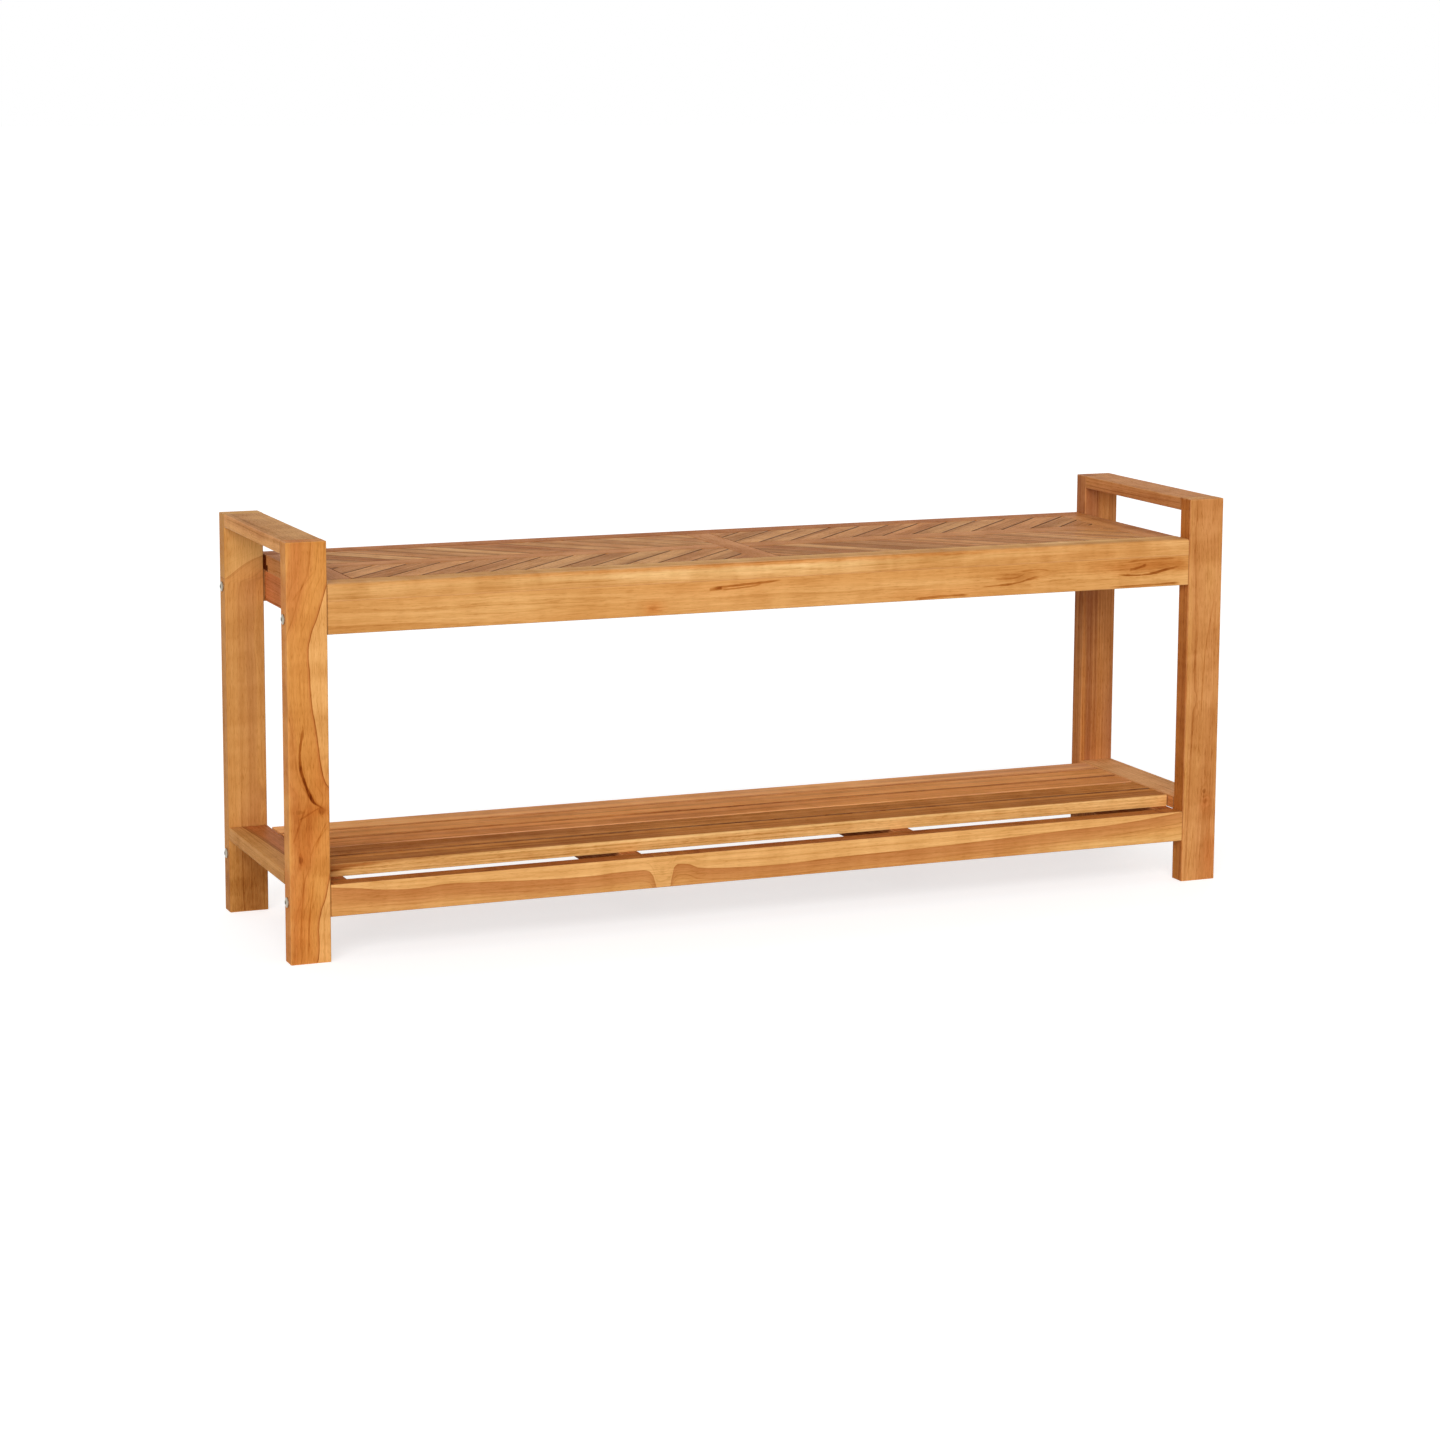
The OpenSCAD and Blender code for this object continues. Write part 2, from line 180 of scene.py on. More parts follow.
def block(low, high):
    """A cutter in the shape of a box."""
    corners = [[(low, high)[i >> axis & 1][axis] for axis in range(3)] for i in range(8)]
    return corners, [(0, 2, 3, 1), (4, 5, 7, 6), (0, 1, 5, 4), (2, 6, 7, 3), (0, 4, 6, 2), (1, 3, 7, 5)]


def rod(centre, axis, diameter, length, sides=32):
    """A cutter in the shape of a drill, along world axis 0, 1 or 2."""
    vertices = []
    a, b = (axis + 1) % 3, (axis + 2) % 3
    for end in (-length / 2, length / 2):
        for i in range(sides):
            angle = 2 * math.pi * i / sides
            point = list(centre)
            point[axis] += end
            point[a] += diameter / 2 * math.cos(angle)
            point[b] += diameter / 2 * math.sin(angle)
            vertices.append(point)
    faces = [(i, (i + 1) % sides, sides + (i + 1) % sides, sides + i) for i in range(sides)]
    faces += [tuple(reversed(range(sides))), tuple(range(sides, 2 * sides))]
    return vertices, faces


# Teak: where each board lay in the log, and what its surface shows of it

chance = random.Random(48)
LAYERS = ("plank", "log", "half", "shade")


def mark_wood(piece, plank, cuts, half, shade):
    """Stores on every point its place in the board and in the log, half the board's size, and its shade.

    A shade is (tone, redness, butted), where butted is 1 on a board whose ends butt against another.
    """
    log = [[p + c for p, c in zip(place, cut)] for place, cut in zip(plank, cuts)]
    for name, values in zip(LAYERS, (plank, log, half, shade)):
        layer = piece.data.attributes.new(name, "FLOAT_VECTOR", "POINT")
        layer.data.foreach_set("vector", [c for value in values for c in value])


def srgb(code):
    """A colour as it looks on the screen, such as "CB8C48", in the linear values that shaders take."""
    parts = [int(code[i : i + 2], 16) / 255 for i in (0, 2, 4)]
    return tuple(p / 12.92 if p <= 0.04045 else ((p + 0.055) / 1.055) ** 2.4 for p in parts) + (1.0,)


class Tree:
    """A node tree, filled from left to right. Where it takes a value, it also takes a colour's code."""

    def __init__(self, tree):
        self.tree = tree
        self.column = 0

    def add(self, kind, **settings):
        node = self.tree.nodes.new("ShaderNode" + kind)
        self.column += 1
        node.location = (220 * (self.column % 12), -260 * (self.column // 12))
        inputs = settings.pop("inputs", {})
        for name, value in settings.items():
            setattr(node, name, value)
        for name, value in inputs.items():
            self.join(value, node.inputs[name])
        return node

    def join(self, value, socket):
        if isinstance(value, bpy.types.NodeSocket):
            self.tree.links.new(value, socket)
        else:
            socket.default_value = srgb(value) if isinstance(value, str) else value

    def calc(self, operation, *values, clamp=False):
        inputs = dict(enumerate(values))
        return self.add("Math", operation=operation, use_clamp=clamp, inputs=inputs).outputs[0]

    def most(self, a, b):
        return self.calc("MAXIMUM", a, b)

    def plus(self, a, b):
        return self.calc("ADD", a, b)

    def minus(self, a, b):
        return self.calc("SUBTRACT", a, b)

    def times(self, a, b, clamp=False):
        return self.calc("MULTIPLY", a, b, clamp=clamp)

    def parts(self, vector):
        return self.add("SeparateXYZ", inputs={0: vector}).outputs

    def group(self, tree, **inputs):
        return self.add("Group", node_tree=tree, inputs=inputs)

    def coat(self, colour, rough, height, strength, depth):
        """A glossy surface with a relief of a depth in metres."""
        relief = self.add("Bump", inputs={"Strength": strength, "Distance": depth, "Height": height})
        inputs = {"Base Color": colour, "Roughness": rough, "Normal": relief.outputs[0]}
        return self.add("BsdfPrincipled", inputs=inputs)

    def cover(self, shader):
        """Makes a shader the surface of the material."""
        self.add("OutputMaterial", inputs={"Surface": shader.outputs[0]})

    def vector(self, operation, *values):
        node = self.add("VectorMath", operation=operation, inputs=dict(enumerate(values)))
        return node.outputs["Value"] if operation in ("LENGTH", "DOT_PRODUCT") else node.outputs[0]

    def noise(self, vector, stretch, detail=2, rough=0.5, output="Fac"):
        """Noise from 0 to 1 whose cells have the size 1 / stretch along each axis."""
        place = self.vector("MULTIPLY", vector, stretch)
        inputs = {"Vector": place, "Scale": 1, "Detail": detail, "Roughness": rough}
        return self.add("TexNoise", inputs=inputs).outputs[output]

    def sway(self, vector, stretch, detail):
        """Noise that leans to either side of 0 on each axis."""
        return self.vector("SUBTRACT", self.noise(vector, stretch, detail, output="Color"), (0.5, 0.5, 0.5))

    def span(self, value, low, high, to_low=0, to_high=1, way="SMOOTHSTEP"):
        """A value from low to high, turned softly into one from to_low to to_high."""
        inputs = dict(enumerate((value, low, high, to_low, to_high)))
        return self.add("MapRange", interpolation_type=way, inputs=inputs).outputs[0]

    def ramp(self, *values):
        return self.span(*values, way="LINEAR")

    def mix(self, factor, a, b, blend="MIX"):
        # The sockets of colours come after those of numbers and vectors
        inputs = {0: factor, 6: a, 7: b}
        return self.add("Mix", data_type="RGBA", blend_type=blend, clamp_factor=True, inputs=inputs).outputs[2]


def blank(data):
    """A material or world, and its node tree with nothing in it yet."""
    data.use_nodes = True
    data.node_tree.nodes.clear()
    return data, Tree(data.node_tree)


def node_group(name, inputs, outputs):
    """An empty shader group. The kind of an input follows from its value, where None is a vector's."""
    group = bpy.data.node_groups.new(name, "ShaderNodeTree")
    for socket, default in inputs.items():
        kind = "Vector" if default is None else "Color" if isinstance(default, str) else "Float"
        made = group.interface.new_socket(socket, in_out="INPUT", socket_type="NodeSocket" + kind)
        if default is not None:
            made.default_value = srgb(default) if kind == "Color" else default
    for socket in outputs:
        kind = "Color" if socket == "Color" else "Float"
        group.interface.new_socket(socket, in_out="OUTPUT", socket_type="NodeSocket" + kind)
    ends = group.nodes.new("NodeGroupInput"), group.nodes.new("NodeGroupOutput")
    return group, Tree(group), ends[0].outputs, ends[1].inputs


def make_rings_group():
    """Growth rings round the pith, which lies on the log's X axis. No two rings are as wide or as dark."""
    group, t, into, out = node_group(
        "Growth rings",
        {"Log": None, "Bend": 0, "Ring Gap": 0.006, "Wander": 0.006, "Slope": 0.01},
        ("Radius", "Ring", "Zone", "Streak"),
    )
    log = into["Log"]
    drift = t.sway(log, (2.4, 10, 10), 1.5)
    ripple = t.sway(log, (14, 45, 45), 1)
    drift = t.vector("ADD", drift, t.vector("MULTIPLY", ripple, (0, 0.16, 0.16)))
    drift = t.add("VectorMath", operation="SCALE", inputs={0: drift, "Scale": into["Wander"]}).outputs[0]
    moved = t.vector("ADD", log, t.vector("MULTIPLY", drift, (0, 3, 3)))
    across = t.vector("LENGTH", t.vector("MULTIPLY", moved, (0, 1, 1)))
    radius = t.plus(t.plus(across, t.times(t.parts(log)[0], into["Slope"])), into["Bend"])
    count = t.calc("DIVIDE", radius, into["Ring Gap"])
    uneven = t.add("TexNoise", noise_dimensions="1D", inputs={"W": count, "Scale": 0.4, "Detail": 1})
    count = t.plus(count, t.times(uneven.outputs["Fac"], 2.6))
    phase = t.calc("FRACT", count)
    own = t.add("TexWhiteNoise", noise_dimensions="1D", inputs={"W": t.calc("FLOOR", count)}).outputs[0]
    # A ring darkens towards its late wood and ends abruptly
    end = t.span(phase, 0.955, 1, 1, 0)
    line = t.times(t.span(phase, 0.72, 0.95), end)
    ring = t.plus(line, t.times(t.times(t.calc("POWER", phase, 2), 0.3), end))
    ring = t.times(ring, t.ramp(t.times(own, own), 0, 0.8, 0.2, 1))
    broken = t.span(t.noise(log, (6, 70, 70), 3, 0.6), 0.35, 0.65, 0.35, 1)
    t.join(t.times(ring, broken, clamp=True), out["Ring"])
    t.join(radius, out["Radius"])
    bands = t.add("TexNoise", noise_dimensions="1D", inputs={"W": count, "Scale": 0.27, "Detail": 2})
    zone = t.plus(t.times(bands.outputs["Fac"], 0.6), t.times(t.noise(log, (3, 16, 16)), 0.4))
    t.join(t.span(zone, 0.4, 0.6), out["Zone"])
    t.join(t.noise(moved, (5, 480, 480), 5, 0.68), out["Streak"])
    return group


def make_pores_group():
    """Open pores: short dark dashes along the grain, and the fine fibre between them."""
    group, t, into, out = node_group("Pores", {"Log": None}, ("Pore", "Fibre"))
    t.join(t.span(t.noise(into["Log"], (110, 1500, 1500), 1), 0.56, 0.68), out["Pore"])
    t.join(t.noise(into["Log"], (45, 1500, 1500), 2, 0.55), out["Fibre"])
    return group


def make_knot_group():
    """A small knot through a board: its heart, and the bend that it gives to the rings round it."""
    group, t, into, out = node_group(
        "Knot", {"Plank": None, "Place": None, "Reach": None, "Push": 0.006}, ("Bend", "Heart", "Near")
    )
    away = t.vector("DIVIDE", t.vector("SUBTRACT", into["Plank"], into["Place"]), into["Reach"])
    scaled = t.vector("ADD", away, t.sway(into["Plank"], (90, 140, 140), 2))
    near = t.calc("EXPONENT", t.times(t.vector("DOT_PRODUCT", scaled, scaled), -1))
    t.join(t.times(near, into["Push"]), out["Bend"])
    t.join(t.span(near, 0.6, 0.97), out["Heart"])
    t.join(near, out["Near"])
    return group


def make_arris_group():
    """How near a point is to an edge of its board: 1 on a worn arris, 0 on the open face."""
    group, t, into, out = node_group("Worn arris", {"Log": None, "Inside": None, "Width": 0.003}, ("Worn",))
    a, b, c = t.parts(into["Inside"])
    second = t.most(t.calc("MINIMUM", a, b), t.calc("MINIMUM", t.most(a, b), c))
    ragged = t.noise(into["Log"], (60, 160, 160), 3, 0.6)
    reach = t.times(into["Width"], t.span(ragged, 0.3, 0.7, 0.35, 1))
    t.join(t.span(t.calc("DIVIDE", second, reach), 0.2, 1, 1, 0), out["Worn"])
    return group


def make_teak_group(rings, pores, arris):
    """Colour, roughness and relief of oiled teak."""
    group, t, into, out = node_group(
        "Oiled teak",
        {
            "Log": None, "Inside": None, "Tone": 0, "Redness": 0, "Bend": 0, "Heart": 0,
            "Light Wood": "D9A25E", "Dark Wood": "B87B40", "Sapwood": "E6AA70", "Knot Colour": "7A4520",
            "Heart Edge": "B06A34", "Ring Gap": 0.006, "Ring Strength": 0.6, "Wander": 0.006, "Slope": 0.01,
            "Sapwood Radius": 1, "Heart Fade": 0.006, "Edge Line": 0.6, "Streaks": 0.6, "Pore Strength": 0.45,
            "Curl": 0.07, "Paled": 0.28, "Base Roughness": 0.5,
        },
        ("Color", "Roughness", "Height"),
    )
    log = into["Log"]
    shared = ("Log", "Bend", "Ring Gap", "Wander", "Slope")
    radius, ring, zone, streak = t.group(rings, **{name: into[name] for name in shared}).outputs
    pore, fibre = t.group(pores, Log=log).outputs
    (worn,) = t.group(arris, Log=log, Inside=into["Inside"]).outputs
    colour = t.mix(zone, into["Light Wood"], into["Dark Wood"])
    outside = t.minus(radius, into["Sapwood Radius"])
    sap = t.span(outside, -0.0003, 0.0009)
    depth = t.calc("DIVIDE", outside, into["Heart Fade"])
    colour = t.mix(t.span(depth, -1, 0, 0, 0.85), colour, into["Heart Edge"])
    colour = t.mix(t.most(sap, into["Paled"]), colour, into["Sapwood"])
    edge_line = t.times(t.span(t.calc("ABSOLUTE", outside), 0, 0.001, 1, 0), into["Edge Line"])
    strength = t.times(into["Ring Strength"], t.span(sap, 0, 1, 1, 0.5))
    rings_seen = t.most(t.times(ring, strength), edge_line)
    pores_seen = t.times(pore, into["Pore Strength"])
    value = t.times(t.ramp(streak, 0.34, 0.66, -1, 1), t.times(into["Streaks"], 0.3))
    value = t.plus(value, t.times(into["Tone"], 0.16))
    curl = t.times(t.span(t.noise(log, (30, 14, 14)), 0.32, 0.68, -1, 1), into["Curl"])
    value = t.plus(t.plus(value, t.ramp(fibre, 0.25, 0.75, -0.1, 0.1)), t.plus(curl, 1))
    for dark, depth in ((rings_seen, 0.58), (pores_seen, 0.5), (into["Heart"], 0.5)):
        value = t.minus(value, t.times(dark, depth))
    # Where teak is darker it is also redder, so its green and blue fall faster
    tints = []
    for depth_of_colour, share in ((0.75, 0.02), (1.15, -0.12), (1.8, -0.2)):
        red = t.plus(t.times(into["Redness"], share), 1)
        tints.append(t.times(t.calc("POWER", t.most(value, 0.05), depth_of_colour), red))
    tint = t.add("CombineColor", inputs=dict(enumerate(tints)))
    colour = t.mix(1, colour, tint.outputs[0], "MULTIPLY")
    colour = t.mix(t.times(into["Heart"], 0.4, clamp=True), colour, into["Knot Colour"])
    # Arrises are lightened towards the sapwood colour: partly wear, partly a painted highlight where rounded
    # edges catch the light
    colour = t.mix(t.times(worn, 0.3), colour, into["Sapwood"])
    t.join(colour, out["Color"])
    rough = t.plus(into["Base Roughness"], t.span(zone, 0, 1, -0.03, 0.05))
    rough = t.plus(rough, t.times(pore, 0.2))
    t.join(t.minus(rough, t.times(worn, 0.08)), out["Roughness"])
    height = t.minus(t.times(fibre, 0.5), pore)
    t.join(t.minus(height, t.times(ring, 0.4)), out["Height"])
    return group


RINGS = make_rings_group()
PORES = make_pores_group()
KNOT = make_knot_group()
ARRIS = make_arris_group()
TEAK = make_teak_group(RINGS, PORES, ARRIS)


def contour(t, along, points):
    """How far across, in metres, a line through (along, across) points in mm lies at a place along it."""
    low, high = min(points)[0], max(points)[0]
    bottom, top = min(y for _, y in points) - 2, max(y for _, y in points) + 2
    curve = t.add("FloatCurve")
    line = curve.mapping.curves[0]
    spots = [((x - low) / (high - low), (y - bottom) / (top - bottom)) for x, y in sorted(points)]
    line.points[0].location = spots[0]
    line.points[1].location = spots[-1]
    for spot in spots[1:-1]:
        line.points.new(*spot)
    curve.mapping.update()
    t.join(t.ramp(along, low * MM, high * MM), curve.inputs["Value"])
    return t.ramp(curve.outputs[0], 0, 1, bottom * MM, top * MM)


# The dark line of a joint: how far from a board's end it reaches, in metres, and its tone
JOINT_LINE, JOINT_TONE = 1.6 * MM, -4.5
# How far in from its side a slat's face is all dark with painted shade of the gap, and where that ends, in
# metres
SIDE_SHADE_SPAN = (0.35 * MM, 1.2 * MM)
# A mineral streak's tone and redness, and how deep under the board's middle it fades out, in mm
STREAK_TONE, STREAK_RED, STREAK_DEPTHS = -3.75, 0.6, (-8, -4)
# Where the sapwood starts in a log that a board was sawn from along its edge
SAWN_AT_SAPWOOD = {"sapwood_radius": 0.08, "slope": 0}


def teak(
    name, light, dark, knots=(), patches=(), marks=(), marks_across=1, edge=None, edge_sign=1, behind=None,
    side_shade=0, sheen=0.03, **values,
):
    """An oiled teak finish.

    light and dark are the wood's colours, and values fill other inputs of the teak group. A knot is (place,
    reach, push, heart) and a patch, a soft change of shade, is (place, reach, tone, redness), in mm from the
    board's middle; on some boards a patch is a painted highlight or painted shade. marks are mineral streaks
    on the front face, each (width, strength, line), whose lines go up and down along the axis marks_across.
    edge is the contour of the sapwood. behind is (axis, low, high, bend, tone, redness) of the faces past a
    place: the bend is of the log's rings, and the tone and redness are painted light and shade that set those
    faces apart from the board's other faces. side_shade is the tone of painted shade of the gaps at the sides.
    """
    material, t = blank(bpy.data.materials.new(name))
    layers = [t.add("Attribute", attribute_name=layer) for layer in LAYERS]
    plank, log, half, shade = (layer.outputs["Vector"] for layer in layers)
    inside = t.vector("SUBTRACT", half, t.vector("ABSOLUTE", plank))
    tone, redness, butted = t.parts(shade)
    place = t.parts(plank)
    from_end, from_side, _ = t.parts(inside)
    joint_line = t.times(t.span(from_end, 0, JOINT_LINE, JOINT_TONE, 0), butted)
    wood = t.group(TEAK, Log=log, Inside=inside)
    if edge:
        values = SAWN_AT_SAPWOOD | values
    for socket, value in {"light_wood": light, "dark_wood": dark, **values}.items():
        t.join(value, wood.inputs[socket.replace("_", " ").title()])
    bends, hearts, tones, reds = [], [], [tone, joint_line], [redness]
    # Painted shade of the gaps at a slat's sides
    if side_shade:
        tones.append(t.span(from_side, *SIDE_SHADE_SPAN, side_shade, 0))

    def grown_at(spot, reach, push):
        sizes = {"Place": [v * MM for v in spot], "Reach": [v * MM for v in reach], "Push": push * MM}
        return t.group(KNOT, Plank=plank, **sizes).outputs

    def shade_where(mask, more_tone, more_red):
        tones.append(t.times(mask, more_tone))
        reds.append(t.times(mask, more_red))

    for spot, reach, push, heart in knots:
        knot = grown_at(spot, reach, push)
        bends.append(knot["Bend"])
        hearts.append(t.times(knot["Heart"], heart))
    for spot, reach, *shades in patches:
        shade_where(grown_at(spot, reach, 0)["Near"], *shades)
    # Painted light and shade on the faces past a place, with the rings bent there
    if behind:
        axis, low, high, bend, *shades = behind
        past = t.span(place[axis], low * MM, high * MM)
        bends.append(t.times(past, bend * MM))
        shade_where(past, *shades)
    if edge:
        bends.append(t.times(contour(t, place[0], edge), -edge_sign))
    if marks:
        ragged = t.span(t.noise(plank, (60, 60, 60)), 0.3, 0.7, 0.65, 1.35)
        deep = t.span(place[3 - marks_across], *(depth * MM for depth in STREAK_DEPTHS), 1, 0)
    for width, strength, line in marks:
        away = t.calc("ABSOLUTE", t.minus(place[marks_across], contour(t, place[0], line)))
        low, high = min(line)[0] * MM, max(line)[0] * MM
        middle = t.calc("ABSOLUTE", t.minus(place[0], (low + high) / 2))
        ends = t.span(middle, (high - low) * 0.36, (high - low) * 0.5, strength, 0)
        half_width = t.times(ragged, width / 2 * MM)
        across = t.span(t.calc("DIVIDE", away, half_width), 0.5, 1, 1, 0)
        shade_where(t.times(t.times(across, ends), deep), STREAK_TONE, STREAK_RED)
    for socket, parts in {"Bend": bends, "Heart": hearts, "Tone": tones, "Redness": reds}.items():
        if parts:
            t.join(reduce(t.most if socket == "Heart" else t.plus, parts), wood.inputs[socket])
    colour, rough, height = wood.outputs
    surface = t.coat(colour, rough, height, 0.25, 0.3 * MM)
    surface.inputs["Specular IOR Level"].default_value = sheen
    t.cover(surface)
    return material


THROUGH = 500


def through(axis, *rows):
    """Knots or patches right through a board along an axis: each has its place and reach on the other two."""
    spots = []
    for a, b, reach_a, reach_b, *rest in rows:
        place, reach = [a, b], [reach_a, reach_b]
        place.insert(axis, 0)
        reach.insert(axis, THROUGH)
        spots.append((place, reach, *rest))
    return spots


# Finishes of the boards. Where sapwood shows, its edge is a contour from one end of the board to the other.
SAPWOOD_EDGE = (
    (-245, 6.6), (-223, 9.9), (-205, 9.6), (-187, 12), (-169, 18), (-145, 23), (-120, 30), (-60, 30),
    (-40, 23.4), (-34, 19.5), (-13, 14.4), (11, 11.4), (35, 8.4), (53, 5.4), (77, 3.6), (95, 3), (116, 1.8),
    (134, 4.2), (155, 11.4), (176, 18), (191, 22.5), (210, 30), (245, 34),
)
MINERAL_STREAK = (
    (-68, 22), (-61, 12), (-55, 4.5), (-46, 0), (-31, -5.4), (-16, -9.6), (5, -10.5), (20, -8), (36, -5.5),
)
SAPPY_LEG = teak(
    "teak_leg_with_sapwood", "DC9040", "C66D2C", sapwood="EBAA62", heart_edge="C06628", knot_colour="62290C",
    heart_fade=0.004, edge_line=0.8, ring_strength=0.4, ring_gap=0.009, wander=0.0015, streaks=0.35, curl=0.1,
    edge=SAPWOOD_EDGE,
    marks=(
        (4.6, 0.8, MINERAL_STREAK),
        (8.5, 0.34, ((-64, 15), (-58, 8), (-50, 2), (-40, -2.5), (-26, -7), (-10, -9.6))),
        (2.4, 0.35, ((-240, -4), (-190, -1.5), (-160, 2.5), (-136, 5))),
        (2.4, 0.28, ((-236, -13), (-190, -11), (-150, -8), (-128, -9))),
        (3, 0.3, ((-104, -20), (-84, -13), (-70, -8), (-60, -4))),
        (2.6, 0.26, ((-120, 0), (-102, 8), (-92, 16), (-84, 22))),
        (3, 0.2, ((176, -18), (190, -8), (202, 2), (212, 10))),
        (5, 0.3, ((-76, -14), (-71, -4), (-66, 5), (-62, 12))),
        (3, 0.3, ((-130, -10), (-121, -12), (-112, -11))), (2.6, 0.3, ((-112, 6), (-96, 12), (-78, 21))),
    ),
    knots=through(
        2, (-66, 14, 10, 8, 5, 0.3), (-122, -12, 8, 5, -4, 0.45), (-90, -6, 34, 22, 3, 0.08),
        (-67, -12, 5, 9, 3, 0.28),
    ),
    patches=through(
        2, (-95, -2, 34, 20, -0.8, 0.9), (-66, 12, 7, 16, -0.9, 0.8), (-122, -9, 9, 6, -1, 0.5),
        (-30, 12, 30, 14, -0.4, 0.6), (0, -30, 400, 9, 0.9, -0.7), (-200, -10, 56, 14, -0.5, 0.8),
        (190, -4, 60, 20, 0.4, 0.2),
    ),
)
# Its inner face is left darker and redder than its other faces: painted shade
LEG = teak(
    "teak_leg", "E09643", "C8722F", ring_strength=0.45, ring_gap=0.008, streaks=0.4, curl=0.1,
    behind=(1, -23.4, -22.4, 0, 2.2, -1.2),
    patches=through(2, (-215, 16, 40, 10, -0.5, 1.1), (-145, 10, 14, 8, -0.6, 1)),
    marks=(
        (2.6, 0.32, ((-40, -1.5), (0, 0), (50, 3), (90, 9), (130, 16))),
        (2.4, 0.35, ((-243, -17), (-225, -13.5), (-205, -10.5), (-170, -8))),
        (2.2, 0.25, ((20, -14), (60, -10), (90, -9), (120, -14))),
        (2.2, 0.22, ((60, 20), (90, 16), (120, 19))),
    ),
    knots=through(
        2, (149, 4, 22, 9, 5, 0.12), (-130, 6, 5, 4, -6, 0.5), (-143, 9, 6, 5, 3, 0.28),
        (-10, -10, 10, 6, 3, 0.15),
    ),
)
# Its outer face is a little darker than its other faces, and its lower end darker still: painted shade
LIGHT_CORNER_LEG = teak(
    "teak_leg_with_light_corner", "CE8A47", "B7723B", sapwood="D69B56", heart_edge="BC763C",
    edge_line=0.3, ring_strength=0.35, ring_gap=0.008, wander=0.002, streaks=0.35, curl=0.08,
    edge=((-245, -40), (160, -40), (166, -26), (180, -6), (188, 8), (194, 24), (200, 34), (245, 40)),
    edge_sign=-1,
    patches=through(2, (208, -26, 34, 9, -1.4, 0.4), (-215, 0, 60, 40, -2.9, -0.4)),
    behind=(1, -23.4, -22.4, 0, 0.8, -0.3),
    knots=through(2, (-105, 20, 20, 9, 6, 0.2), (90, 16, 30, 8, -4, 0.15)),
)
RED_LEG = teak("teak_leg_reddish", "D0823F", "9E5229", paled=0.18, wander=0.002, streaks=0.7)
HALF_SAPPY = teak(
    "teak_stretcher_with_sapwood", "B8622B", "9A4E1D", sapwood="C98B4A", heart_edge="97501F",
    ring_strength=0.55, wander=0.002,
    edge=((-126, 4), (-70, 1), (-10, -2), (50, -4), (126, -8)), edge_sign=-1,
    patches=through(2, (0, 7, THROUGH, 5, 0.9, 0)),
)
ARM = teak("teak_arm", "CC8745", "B16C35", ring_strength=0.5, sheen=0.034, curl=0.1, streaks=0.5)
# All faces but the outer one are darker: the outer face carries painted light
LEFT_ARM = teak(
    "teak_left_arm", "E6A157", "CA8245", ring_strength=0.4, sheen=0.034, curl=0.1, streaks=0.4,
    behind=(2, -23.4, -22, 0, -1.4, -0.9),
)
# All faces but the inner one are lighter: painted shade on the inner face
GOLDEN_ARM = teak(
    "teak_golden_stretcher", "F0B06C", "DA9858", ring_strength=0.5, sheen=0.02, curl=0.1,
    behind=(2, -23.4, -22, 0, 1.7, -0.6),
)
RAIL = teak(
    "teak_rail", "EEB26D", "D8934C", sapwood="EDB470", knot_colour="8A3C10",
    ring_strength=0.3, ring_gap=0.008, streaks=0.3, pore_strength=0.25, curl=0.06,
    patches=through(
        1, (-330, 0, 120, 12, 0.3, -0.2), (-70, 8, 90, 12, 0.1, 0.4), (505, 8, 75, 10, -1.9, 0.9),
        (325, 2, 50, 10, -0.9, 0.3), (220, -12, 70, 7, -0.3, 0.5), (-163, -10, 12, 8, -0.9, 1.2),
    ),
    marks_across=2,
    marks=(
        (3.8, 0.8, ((-90, 10), (-60, 12), (-30, 13.5), (4, 16))),
        (4.4, 0.6, ((-92, 8.5), (-84, 9.2), (-74, 10))), (2.6, 0.6, ((-78, 8), (-52, 9), (-22, 12))),
        (2.6, 0.45, ((322, 10), (336, 10.8), (345, 11.2), (364, 9))),
        (3.2, 0.6, ((268, -6.5), (292, -6), (318, -4), (336, 0), (352, 2.5))),
        (2.4, 0.3, ((286, 2.5), (304, 1.5), (318, 3), (330, 8))),
        (3.4, 0.7, ((456, -0.5), (474, -2.5), (492, -3), (508, -1.5), (534, 3.5), (548, 5))),
        (4.6, 0.5, ((474, 4), (482, 5), (490, 7), (500, 10))), (2.4, 0.35, ((470, 14), (500, 16), (545, 16))),
        (3, 0.6, ((445, -16), (480, -16.5), (550, -15))),
        (3.6, 0.7, ((176, -17), (205, -15.5), (228, -15), (254, -15.5))),
        (2, 0.22, ((-420, 3), (-360, 5), (-300, 3.5), (-240, 2))),
        (2, 0.22, ((-400, -4), (-340, -5), (-290, -3))),
    ),
    knots=through(
        1, (-163, -9, 10, 7, 2.5, 0.16), (320, 3, 34, 9, 7, 0.1), (500, 2, 40, 7, -4, 0.1),
        (-480, 4, 120, 9, 3, 0),
    ),
)
SHELF_RAIL_EDGE = (
    (-560, 16), (-525, 12), (-490, 7.8), (-455, 6.4), (-420, 8.5), (-385, 7.5), (-315, 4.3), (-245, 2.9),
    (-210, 4.5), (-180, 5), (-168, 3), (-161, -6), (-154, -20), (-143, -20), (-137, -2), (-130, 8.5),
    (-105, 2.2), (-70, -1.3), (0, -3), (70, -0.6), (175, 1.5), (245, 3.3), (315, 5.7), (385, 8.5),
    (455, 10.6), (490, 12.7), (525, 15.5), (560, 19),
)
